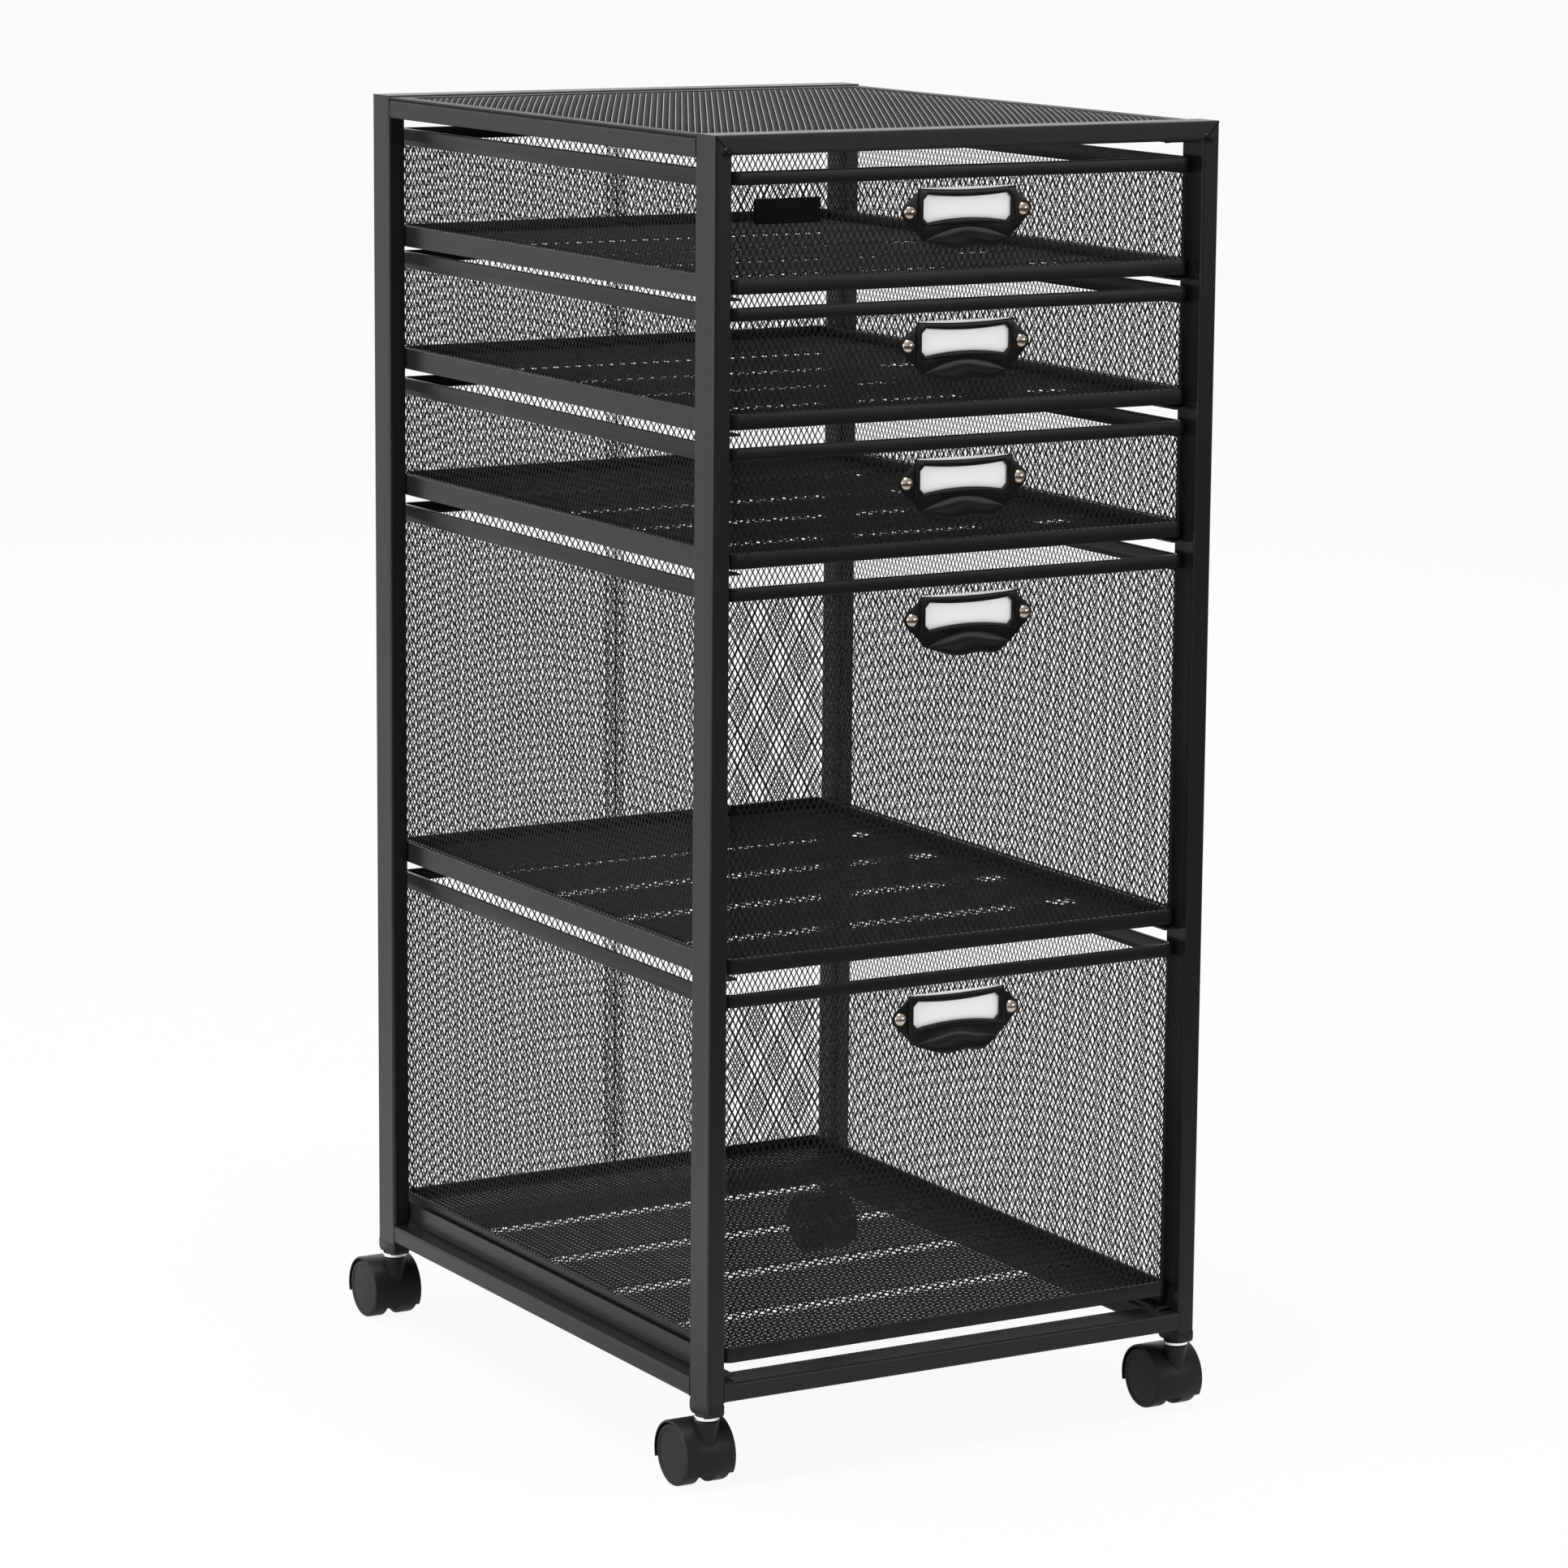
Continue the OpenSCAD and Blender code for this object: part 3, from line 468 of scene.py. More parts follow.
# The runners are tacked to the inner faces of the posts
for sx in (-1, 1):
    x = sx * (inner_x - TACK_SINK)
    for number in DRAWERS:
        z = node_box(f"drawer_{number}_rims")[0].z
        for y in (FRAME_FRONT + TUBE_DEPTH - TACK_SHY, FRAME_REAR - TUBE_DEPTH + TACK_SHY):
            weld_seed += 1
            add_weld(welds, (x, y, z + TACK_HEAD), (x, y + TACK_LEAN, z + TACK_FOOT), TACK,
                     weld_seed)
finish_piece(welds, "weld_beads", "frame", FRAME_PAINT, smooth=60)
print("weld rows:", weld_seed)


# %% The domed bosses on the front mitres
BOSS_SKIRT = 0.25
bosses = bmesh.new()
boss_low, boss_high = node_box("corner_bosses")
boss_radius = (boss_high.z - boss_low.z) / 2
for x in (boss_low.x + boss_radius, boss_high.x - boss_radius):
    button = lathe(dome_outline(boss_radius, boss_high.y - boss_low.y, BOSS_SKIRT), 28)
    merge_into(bosses, button, (x, boss_high.y, (boss_low.z + boss_high.z) / 2), TO_FRONT)
finish_piece(bosses, "mitre_bosses", "frame", BOSS_PAINT,
             stands_for=["corner_bosses"], smooth=50)
print("mitre bosses of radius", round(boss_radius, 2))

# %% Painted shade of the grooves where the front tubes meet at 45 degrees
# Each groove is painted shade: a near-black strip stands a hair proud of the face along the mitre.
GROOVE_WIDTH, GROOVE_PROUD, GROOVE_DEPTH = 0.45, 0.03, 0.1
GROOVE_START, GROOVE_SHY = 0.6, 0.4
groove_shadow_strips = bmesh.new()
for sx in (-1, 1):
    strip = bmesh.new()
    add_box(strip, (GROOVE_START, -GROOVE_PROUD, -GROOVE_WIDTH / 2),
            (TUBE_FACE * math.sqrt(2) - GROOVE_SHY, GROOVE_DEPTH, GROOVE_WIDTH / 2))
    slant = Matrix.Rotation(math.radians(45 if sx < 0 else 135), 3, "Y")
    merge_into(groove_shadow_strips, strip, (sx * FRAME_SIDE, FRAME_FRONT, FRAME_TOP), slant)
finish_piece(groove_shadow_strips, "mitre_groove_shadow_strips", "frame", SEAM_SHADE, smooth=0)
print("mitre grooves at", round(FRAME_SIDE, 1))

# %% [markdown]
# ## Expanded metal
# Expanded metal starts as a slit sheet that is pulled until every slit opens into a diamond.
# A picture with holes would look flat, so the strands are modelled. A grid is poked and its
# square edges dissolved, which leaves a tiling of diamonds. The wireframe operator turns
# each edge into a strand, and the strands are then tipped as the pulling tips them.

# %% Cells of the mesh, in millimetres
CELL_SHORT, CELL_LONG = 3.55, 6.45
STRAND, TIP = 0.59, 0.30
# Points aren't tipped that are this near to a line of crossings, in strands, or to the edge
ON_LINE, ON_EDGE = 0.05, 0.01
print("open share of a cell:", round((1 - STRAND / CELL_SHORT) * (1 - STRAND / CELL_LONG), 2))


# %% A flat sheet of diamonds
def diamond_sheet(width, height, across, up, strand=STRAND, tip=TIP):
    """Diamonds stand along Y, on the XY plane, with the sheet's low corner at the origin."""
    bm = bmesh.new()
    bmesh.ops.create_grid(bm, x_segments=across, y_segments=up, size=0.5)
    shift(bm, (0.5, 0.5, 0))
    bmesh.ops.scale(bm, vec=(width, height, 1), verts=bm.verts[:])
    squares = [e for e in bm.edges if len(e.link_faces) == 2]
    bmesh.ops.poke(bm, faces=bm.faces[:])
    squares = [e for e in squares if e.is_valid]
    bmesh.ops.dissolve_edges(bm, edges=squares, use_verts=False)
    bmesh.ops.wireframe(bm, faces=bm.faces[:], thickness=strand, offset=0.0,
                        use_replace=True, use_boundary=True, use_even_offset=True)
    # A vertex beside a crossing belongs to a diamond's left or right tip, so it goes up or down
    half = width / across / 2
    for v in bm.verts:
        aside = (v.co.x + half / 2) % half - half / 2
        if abs(aside) > ON_LINE * strand and ON_EDGE < v.co.x < width - ON_EDGE:
            v.co.z -= math.copysign(tip, aside)
    return bm


def cells(length, cell):
    return max(2, round(length / cell))


trial = diamond_sheet(10 * CELL_SHORT, 4 * CELL_LONG, 10, 4)
print("trial sheet:", len(trial.verts), "vertices,", len(trial.faces), "faces for 80 diamonds")
trial.free()


# %% [markdown]
# A drawer's wall is one strip bent round four corners. The strip is cut flat, and each of its
# points is then moved to the same distance along a rounded rectangle.


# %% Where a point of the strip lands on the rounded rectangle
def corner_path(half_x, half_y, radius):
    """Returns a function from distance to (place, outward direction), from the rear middle."""
    straight_x, straight_y = half_x - radius, half_y - radius
    quarter = math.pi * radius / 2
    legs = [("line", straight_x, (0, half_y), (1, 0), (0, 1)),
            ("arc", quarter, (straight_x, straight_y), 90, None),
            ("line", 2 * straight_y, (half_x, straight_y), (0, -1), (1, 0)),
            ("arc", quarter, (straight_x, -straight_y), 0, None),
            ("line", 2 * straight_x, (straight_x, -half_y), (-1, 0), (0, -1)),
            ("arc", quarter, (-straight_x, -straight_y), -90, None),
            ("line", 2 * straight_y, (-half_x, -straight_y), (0, 1), (-1, 0)),
            ("arc", quarter, (-straight_x, straight_y), 180, None),
            ("line", straight_x, (-straight_x, half_y), (1, 0), (0, 1))]
    total = sum(leg[1] for leg in legs)

    def place(distance):
        left = min(max(distance, 0), total)
        for leg in legs:
            kind, length, spot, turn, out = leg
            if left <= length or leg is legs[-1]:
                break
            left -= length
        if kind == "line":
            return Vector(spot) + Vector(turn) * left, Vector(out)
        angle = math.radians(turn - 90 * left / length)
        out = Vector((math.cos(angle), math.sin(angle)))
        return Vector(spot) + out * radius, out

    return place, total


# %% Bend a strip round a drawer
def bend_strip(bm, place, start, z0, centre_y):
    for v in bm.verts:
        spot, out = place(start + v.co.x)
        spot = spot + out * v.co.z
        v.co = Vector((spot.x, spot.y + centre_y, z0 + v.co.y))


# The mesh follows the CAD wall and laps a little over both rims
WALL_RADIUS, WALL_INSET, WALL_LAP = 4.2, 0.35, 0.9
DEEP = 100
for number in DRAWERS:
    node = f"drawer_{number}_walls"
    low, high = node_box(node)
    half_x, half_y = (high.x - low.x) / 2 - WALL_INSET, (high.y - low.y) / 2 - WALL_INSET
    place, around = corner_path(half_x, half_y, WALL_RADIUS)
    tall = high.z - low.z + 2 * WALL_LAP
    across, up = cells(around, CELL_SHORT), cells(tall, CELL_LONG)
    # A deep drawer's wall is in three strips, which meet in the two front corners. The way
    # from the rear middle to the middle of a front corner takes one and a half round corners.
    to_corner = half_x + 2 * half_y + (0.75 * math.pi - 3) * WALL_RADIUS
    turn = round(to_corner / around * across)
    cuts = [0, turn, across - turn, across] if tall > DEEP else [0, across]
    cell = around / across
    for part, (first, last) in enumerate(zip(cuts, cuts[1:]), 1):
        strip = diamond_sheet((last - first) * cell, tall, last - first, up)
        bend_strip(strip, place, first * cell, low.z - WALL_LAP, (low.y + high.y) / 2)
        obj = finish_piece(strip, f"{node}_mesh_{part}", f"drawer_{number}",
                           MESH_PAINT, stands_for=[node], smooth=0, recalc=False)
    print(node, across, "x", up, "cells,", len(obj.data.polygons), "faces in a strip")

# %% [markdown]
# The two ends of the real strip overlap in the middle of the rear wall. Seen through the front
# mesh, the lap is a darker upright band. A second, narrow sheet just inside the wall gives
# that band, because two layers of strands let less light through than one.

# %% The lapped seam in the middle of each rear wall
SEAM_CELLS, SEAM_ASIDE, SEAM_DEPTH = 3, 1.1, 1.15
for number in DRAWERS:
    low, high = node_box(f"drawer_{number}_walls")
    tall = high.z - low.z + 2 * WALL_LAP
    seam_wide = SEAM_CELLS * CELL_SHORT
    seam = diamond_sheet(seam_wide, tall, SEAM_CELLS, cells(tall, CELL_LONG))
    bmesh.ops.rotate(seam, cent=(0, 0, 0), matrix=TO_FRONT, verts=seam.verts[:])
    shift(seam, (-seam_wide / 2 - SEAM_ASIDE, high.y - SEAM_DEPTH, low.z - WALL_LAP))
    finish_piece(seam, f"drawer_{number}_seam", f"drawer_{number}", MESH_PAINT,
                 smooth=0, recalc=False)
print("rear seams:", len(DRAWERS))

# %% [markdown]
# The floor of a drawer is the same mesh, laid with its long way from left to right. Four
# beads are pressed into it so that it doesn't sag. The sheet is cut with its long way along Y,
# like the others, and given a quarter turn, which keeps the way its strands are tipped.

# %% Drawer floors
BEAD_PITCH, BEAD_HALF, BEAD_HEIGHT = 68.0, 7.0, 2.1
BEAD_MARGIN, BEAD_FORWARD = 8.0, 7.0
FLOOR_STRAND, FLOOR_TIP = 0.72, 0.30
FLOOR_SHY, FLOOR_LIFT = 0.4, 0.55


def bead_rise(x, y, half_x):
    """Height of the pressed beads above the floor, from the drawer's middle."""
    rise = 0.0
    for step in range(4):
        bead_y = (step - 1.5) * BEAD_PITCH - BEAD_FORWARD
        near = abs(y - bead_y) / BEAD_HALF
        end = (half_x - BEAD_MARGIN - abs(x)) / BEAD_HALF
        if near < 1 and end > 0:
            rise = BEAD_HEIGHT * (0.5 + 0.5 * math.cos(math.pi * near)) * min(1, end)
    return rise


for number in DRAWERS:
    node = f"drawer_{number}_floor"
    low, high = node_box(node)
    wide, deep = high.x - low.x - FLOOR_SHY, high.y - low.y - FLOOR_SHY
    sheet = diamond_sheet(deep, wide, cells(deep, CELL_SHORT), cells(wide, CELL_LONG),
                          strand=FLOOR_STRAND, tip=FLOOR_TIP)
    for v in sheet.verts:
        x, y = v.co.y - wide / 2, deep / 2 - v.co.x
        v.co = Vector((x, y + (low.y + high.y) / 2,
                       low.z + FLOOR_LIFT + v.co.z + bead_rise(x, y, wide / 2)))
    obj = finish_piece(sheet, f"{node}_mesh", f"drawer_{number}", FLOOR_PAINT,
                       stands_for=[node], smooth=0, recalc=False)
print("floors with", len(obj.data.polygons), "faces each")

# %% [markdown]
# The top panel is crowned: its mesh lies low in the frame at the edges and swells to the level
# of the rails within a few centimetres.

# %% Top panel
PANEL_LAP, PANEL_LIFT, PANEL_SHY, PANEL_FLAT = 1.6, 0.4, 0.75, 0.9
CROWN_POWER = 7
low, high = node_box("top_mesh")
wide, deep = high.x - low.x + PANEL_LAP, high.y - low.y + PANEL_LAP
sheet = diamond_sheet(wide, deep, cells(wide, CELL_SHORT), cells(deep, CELL_LONG))
crown_height = high.z - low.z - PANEL_SHY
for v in sheet.verts:
    x, y = v.co.x - wide / 2, v.co.y - deep / 2
    swell = (1 - abs(2 * x / wide) ** CROWN_POWER) * (1 - abs(2 * y / deep) ** CROWN_POWER)
    v.co = Vector((x, y + (low.y + high.y) / 2,
                   low.z + PANEL_LIFT + v.co.z * PANEL_FLAT + crown_height * swell))
obj = finish_piece(sheet, "top_mesh_panel", "frame", TOP_LIT_PANEL_PAINT,
                   stands_for=["top_mesh"], smooth=0, recalc=False)
print("top panel:", len(obj.data.polygons), "faces")

# %% [markdown]
# ## Folded rims
# Each rim is a folded channel. It is made as a flat rectangle whose corners are rounded by a
# vertex bevel, turned into a ring by an inset, pulled up, and softened along its long edges.


# %% A ring with rounded corners and edges
def rounded_ring(half_x, half_y, radius, wall, z0, z1, soft):
    """A ring of the given wall, with round upright corners and soft long edges."""
    bm = bmesh.new()
    bmesh.ops.create_grid(bm, x_segments=1, y_segments=1, size=1.0)
    bmesh.ops.scale(bm, vec=(half_x, half_y, 1), verts=bm.verts[:])
    if radius:
        soften(bm, bm.verts, radius, 6, affect="VERTICES")
    outer = bm.faces[:]
    bmesh.ops.inset_region(bm, faces=outer, thickness=wall, use_boundary=True,
                           use_even_offset=True)
    bmesh.ops.delete(bm, geom=outer, context="FACES")
    extrude(bm, bm.faces[:], (0, 0, z1 - z0))
    shift(bm, (0, 0, z0))
    bmesh.ops.recalc_face_normals(bm, faces=bm.faces[:])
    rims = [e for e in bm.edges if e.calc_face_angle(0) > math.radians(60)]
    soften(bm, rims, soft, 3)
    return bm


# %% Top and bottom rims of the drawers
# The rim runs round the top of a drawer, and the band is the rim round its floor
RIM_WALL, RIM_HEIGHT, RIM_CORNER, RIM_SOFT = 2.4, 6.6, 5.0, 0.8
BAND_WALL, BAND_INSET, BAND_SOFT, FLOOR_RISE = 2.0, 0.4, 0.45, 1.2
SIDE_RIM_HEIGHT, SIDE_RIM_SINK, SIDE_RIM_DROP, SIDE_RIM_SOFT = 8.6, 0.02, 1.0, 0.4
SIDE_BAND_LAP, SIDE_BAND_SOFT, SIDE_SHY = 2.0, 0.3, 5.2


def add_side_strip(bm, x_outer, x_inner, half_y, z0, z1, soft):
    """A straight strip along a drawer's side, between its round corners."""
    x0, x1 = sorted((x_outer, x_inner))
    add_box(bm, (x0, -half_y + SIDE_SHY, z0), (x1, half_y - SIDE_SHY, z1), soft)


for number in DRAWERS:
    low, high = node_box(f"drawer_{number}_rims")
    band_foot = node_box(f"drawer_{number}_floor")[0].z - FLOOR_RISE
    band_top = node_box(f"drawer_{number}_walls")[0].z
    half_x, half_y = (high.x - low.x) / 2, (high.y - low.y) / 2
    band_x, band_y = half_x - BAND_INSET, half_y - BAND_INSET
    bm = rounded_ring(half_x, half_y, RIM_CORNER, RIM_WALL, high.z - RIM_HEIGHT, high.z,
                      RIM_SOFT)
    merge_into(bm, rounded_ring(band_x, band_y, RIM_CORNER - BAND_INSET, BAND_WALL, band_foot,
                                band_top, BAND_SOFT))
    # Along the sides the top rim is taller, and the bottom rim reaches down to the runners
    for sx in (-1, 1):
        add_side_strip(bm, sx * (half_x - SIDE_RIM_SINK), sx * (half_x - RIM_WALL + SIDE_RIM_SINK),
                       half_y, high.z - SIDE_RIM_HEIGHT, high.z - SIDE_RIM_DROP, SIDE_RIM_SOFT)
        add_side_strip(bm, sx * band_x, sx * (band_x - BAND_WALL), half_y, low.z,
                       band_foot + SIDE_BAND_LAP, SIDE_BAND_SOFT)
    shift(bm, (0, (low.y + high.y) / 2, 0))
    finish_piece(bm, f"drawer_{number}_folded_rims", f"drawer_{number}",
                 DRAWER_PAINT, stands_for=[f"drawer_{number}_rims"], smooth=40)
print("rims for", len(DRAWERS), "drawers")

# %% [markdown]
# The top panel's mesh is caught under a flat strip that runs round the inside of the frame.
# It is the same ring as a rim, only low and wide, and its corners are square.

# %% The hem of the top panel
HEM_WIDTH, HEM_SOFT = 9.0, 0.35
low, high = node_box("top_mesh_hem")
hem = rounded_ring((high.x - low.x) / 2, (high.y - low.y) / 2, 0.0, HEM_WIDTH, low.z, high.z,
                   HEM_SOFT)
shift(hem, (0, (low.y + high.y) / 2, 0))
finish_piece(hem, "top_hem_strip", "frame", TOP_LIT_HEM_PAINT,
             stands_for=["top_mesh_hem"], smooth=40)
print("hem at", round(low.z, 2))

# %% [markdown]
# ## Label pulls
# The pull is one pressing: a flat plate with two ears for the rivets, a raised frame round the
# label, and an arched ridge, from which a lip curls down and forward for the fingers.

# %% Measures of the pull
# From the middle of the rivets' line. A bow lifts the middle of a row of points over its ends.
PULL_HALF, PULL_UP, PULL_DOWN = 27.5, 11.2, 7.4
PLATE_SHY, PLATE_LOW = 0.1, 1.6
RIVET_HALF, EAR, EAR_TOP_ANGLE, EAR_FOOT_ANGLE = 32.0, 4.4, 50, -45
TIP_OUT, TIP_DROP = 0.8, 0.5
SHEET, FRAME_RISE, FRAME_LAP = 1.0, 1.3, 0.2
PLATE_SOFT, FRAME_SOFT = 0.2, 0.75
PLATE_BOW, FRAME_TOP_BOW, FRAME_FOOT_BOW = -1.0, -1.1, 0.9
WINDOW_HALF, WINDOW_UP, WINDOW_DOWN, WINDOW_CUT = 24.9, 8.0, 5.4, 2.4
WINDOW_TOP_BOW, WINDOW_FOOT_BOW = -1.3, 2.0
RIDGE_DROP, RIDGE_ARCH, RIDGE_ROD = 0.6, 5.8, 0.45
LIP_HALF, LIP_REACH, LIP_SHEET, LIP_START = 23.0, 9.8, 0.8, 0.3
EDGE_SHARE, EDGE_DROP, EDGE_BOW, EDGE_WAVE, EDGE_ROD, EDGE_SHY = 0.96, 0.6, 1.7, 1.6, 0.4, 0.97
CARD_HALF, CARD_FOOT, CARD_OVER = 25.7, -6.3, 0.1
CARD_FACE, CARD_BACK, CARD_GAP, CARD_SOFT = -0.33, -0.05, 0.02, 0.06


def ridge_z(u):
    """Height of the arched ridge at the share u of its half width."""
    return -PULL_DOWN - RIDGE_DROP - RIDGE_ARCH * u * u


def edge_point(u):
    """A point of the lip's free edge, which hangs lowest on both sides of its middle."""
    wave = math.sin(math.pi * u) ** 2
    z = ridge_z(1) - EDGE_DROP - EDGE_BOW * (1 - u * u) - EDGE_WAVE * wave
    return Vector((LIP_HALF * u, -SHEET - LIP_REACH * (1 - u * u) * EDGE_SHARE, z))


print("pull:", 2 * (RIVET_HALF + EAR), "wide, lip", LIP_REACH, "deep")


# %% Draw an outline, fill it and give it thickness
def pressed_plate(bm, outlines, y0, y1, soft):
    """A plate between two depths, from closed outlines in X and Z. Later ones are holes."""
    start = set(bm.verts)
    edges = []
    for outline in outlines:
        verts = [bm.verts.new((x, y1, z)) for x, z in outline]
        edges += [bm.edges.new(pair) for pair in zip(verts, verts[1:] + verts[:1])]
    filled = bmesh.ops.triangle_fill(bm, edges=edges, use_beauty=True, use_dissolve=False)["geom"]
    faces = [g for g in filled if isinstance(g, bmesh.types.BMFace)]
    bmesh.ops.recalc_face_normals(bm, faces=faces)
    extrude(bm, faces, (0, y0 - y1, 0))
    made = [v for v in bm.verts if v not in start]
    faces = {f for v in made for f in v.link_faces}
    bmesh.ops.recalc_face_normals(bm, faces=list(faces))
    front = [e for e in {e for v in made for e in v.link_edges}
             if e.calc_face_angle(0) > math.radians(50)
             and all(abs(v.co.y - y0) < 0.001 for v in e.verts)]
    soften(bm, front, soft, 3, clamp=True)


def arc(centre_x, radius, a0, a1, steps):
    """Points of a round ear, whose centre is on the rivets' line."""
    angles = [math.radians(a0 + (a1 - a0) * k / steps) for k in range(steps + 1)]
    return [(centre_x + radius * math.cos(a), radius * math.sin(a)) for a in angles]


def bowed(x0, x1, z, bow, steps=14):
    """A row of points from x0 to x1 at z that bows by the given height in its middle."""
    row = []
    for k in range(steps + 1):
        t = 2 * k / steps - 1
        row.append((x0 + (x1 - x0) * k / steps, z + bow * (1 - t * t)))
    return row


# %% The flat plate and its raised frame
def build_plate(bm):
    ear = arc(RIVET_HALF, EAR, EAR_TOP_ANGLE, EAR_FOOT_ANGLE, 12)
    tip = (LIP_HALF + TIP_OUT, ridge_z(1) - TIP_DROP)
    top_half, cut_half = PULL_HALF - PLATE_SHY, WINDOW_HALF - WINDOW_CUT
    plate = bowed(-top_half, top_half, PULL_UP - PLATE_LOW, PLATE_BOW)
    plate += ear + [tip] + bowed(LIP_HALF, -LIP_HALF, ridge_z(1), ridge_z(0) - ridge_z(1), 20)
    plate += [(-x, z) for x, z in [tip] + ear[::-1]]
    window = bowed(-cut_half, cut_half, WINDOW_UP, WINDOW_TOP_BOW)
    window += [(WINDOW_HALF, WINDOW_UP - WINDOW_CUT), (WINDOW_HALF, -WINDOW_DOWN + WINDOW_CUT)]
    window += bowed(cut_half, -cut_half, -WINDOW_DOWN, WINDOW_FOOT_BOW)
    window += [(-WINDOW_HALF, -WINDOW_DOWN + WINDOW_CUT), (-WINDOW_HALF, WINDOW_UP - WINDOW_CUT)]
    pressed_plate(bm, [plate, window], -SHEET, CARD_FACE - CARD_GAP, PLATE_SOFT)
    rim = bowed(-PULL_HALF, PULL_HALF, PULL_UP, FRAME_TOP_BOW)
    rim += bowed(PULL_HALF, -PULL_HALF, -PULL_DOWN, FRAME_FOOT_BOW)
    pressed_plate(bm, [rim, window], -SHEET - FRAME_RISE, -SHEET + FRAME_LAP, FRAME_SOFT)


# %% [markdown]
# The lip is a swept surface, so it starts as a grid. Each column of the grid leaves the ridge
# straight down and curls forward to the free edge. Both edges end in a fine rolled bead.

# %% A thin round bead along a row of points
def add_rod(bm, path, radius, sides=8):
    ring = bmesh.ops.create_circle(bm, cap_ends=True, segments=sides, radius=radius)["verts"]
    bmesh.ops.rotate(bm, cent=(0, 0, 0), matrix=Matrix.Rotation(math.radians(90), 3, "Y"),
                     verts=ring)
    bmesh.ops.translate(bm, vec=path[0], verts=ring)
    cap = ring[0].link_faces[0]
    for start, end in zip(path, path[1:]):
        grown = extrude(bm, [cap], Vector(end) - Vector(start))
        cap = [g for g in grown if isinstance(g, bmesh.types.BMFace)][0]


# %% The ridge, the lip and its free edge
def build_lip(bm, columns=32, rows=8):
    made = bmesh.ops.create_grid(bm, x_segments=columns, y_segments=rows, size=0.5)["verts"]
    for v in made:
        u, turn = 2 * v.co.x, (0.5 - v.co.y) * math.pi / 2
        start = Vector((LIP_HALF * u, -SHEET + LIP_START, ridge_z(u)))
        end = edge_point(u)
        v.co = Vector((start.x, start.y + (end.y - start.y) * (1 - math.cos(turn)),
                       start.z + (end.z - start.z) * math.sin(turn)))
    faces = list({f for v in made for f in v.link_faces})
    bmesh.ops.recalc_face_normals(bm, faces=faces)
    bmesh.ops.solidify(bm, geom=faces, thickness=LIP_SHEET)
    shares = [2 * k / columns - 1 for k in range(columns + 1)]
    add_rod(bm, [(LIP_HALF * u, -SHEET, ridge_z(u)) for u in shares], RIDGE_ROD)
    add_rod(bm, [edge_point(u * EDGE_SHY) for u in shares], EDGE_ROD)


pull_seed = bmesh.new()
build_plate(pull_seed)
lip_seed = bmesh.new()
build_lip(lip_seed)
merge_into(pull_seed, lip_seed)
pull_mesh = bpy.data.meshes.new("pull pattern")
pull_seed.to_mesh(pull_mesh)
pull_seed.free()
print("pull pattern:", len(pull_mesh.polygons), "faces")

# %% [markdown]
# The pattern is made once and copied to each drawer, as the real pull is pressed in one tool.
# The label is a thin card behind the window, and each rivet has a domed head in front of the
# ear and an upset end behind it.

# %% Put a pull, a card and two rivets on each drawer
HEAD_SKIRT, UPSET_RISE, UPSET_SKIRT = 0.6, 1.0, 0.2
for number in DRAWERS:
    body = f"drawer_{number}"
    rivet_low, rivet_high = node_box(f"{body}_rivets")
    spot = Vector(((rivet_low.x + rivet_high.x) / 2, node_box(f"{body}_label_pull")[1].y,
                   (rivet_low.z + rivet_high.z) / 2))
    bm = bmesh.new()
    bm.from_mesh(pull_mesh)
    shift(bm, spot)
    finish_piece(bm, f"{body}_pull", body, PULL_PAINT,
                 stands_for=[f"{body}_label_pull"], smooth=40)
    bm = bmesh.new()
    add_box(bm, spot + Vector((-CARD_HALF, CARD_FACE, CARD_FOOT)),
            spot + Vector((CARD_HALF, CARD_BACK, PULL_UP + CARD_OVER)), CARD_SOFT)
    finish_piece(bm, f"{body}_card", body, CARD_STOCK,
                 stands_for=[f"{body}_label_card"], smooth=40)
    bm = bmesh.new()
    radius = (rivet_high.z - rivet_low.z) / 2
    head_y, upset_y = spot.y - SHEET, rivet_high.y - UPSET_RISE
    for x in (spot.x - RIVET_HALF, spot.x + RIVET_HALF):
        head = lathe(dome_outline(radius, head_y - rivet_low.y, HEAD_SKIRT), 36)
        merge_into(bm, head, (x, head_y, spot.z), TO_FRONT)
        upset = lathe(dome_outline(radius, UPSET_RISE, UPSET_SKIRT), 24)
        merge_into(bm, upset, (x, upset_y, spot.z), TO_REAR)
    finish_piece(bm, f"{body}_rivet_heads", body, RIVET_METAL,
                 stands_for=[f"{body}_rivets"], smooth=60)
print("pulls, cards and rivets for", len(DRAWERS), "drawers")

# %% The bare badge plate
BADGE_SOFT = 0.4
low, high = node_box("badge_plate")
bm = bmesh.new()
add_box(bm, low, high, BADGE_SOFT, 3)
finish_piece(bm, "bare_badge_plate", "drawer_1", BADGE_PLASTIC,
             stands_for=["badge_plate"], smooth=40)
print("badge plate", [round(c, 1) for c in high - low])

# %% [markdown]
# ## Casters
# A twin-wheel caster is a hood over two wheels, with a boss that holds the stem. The wheels,
# the hood and the web between the wheels are outlines that are spun about the axle. The boss
# is another, spun about the stem.


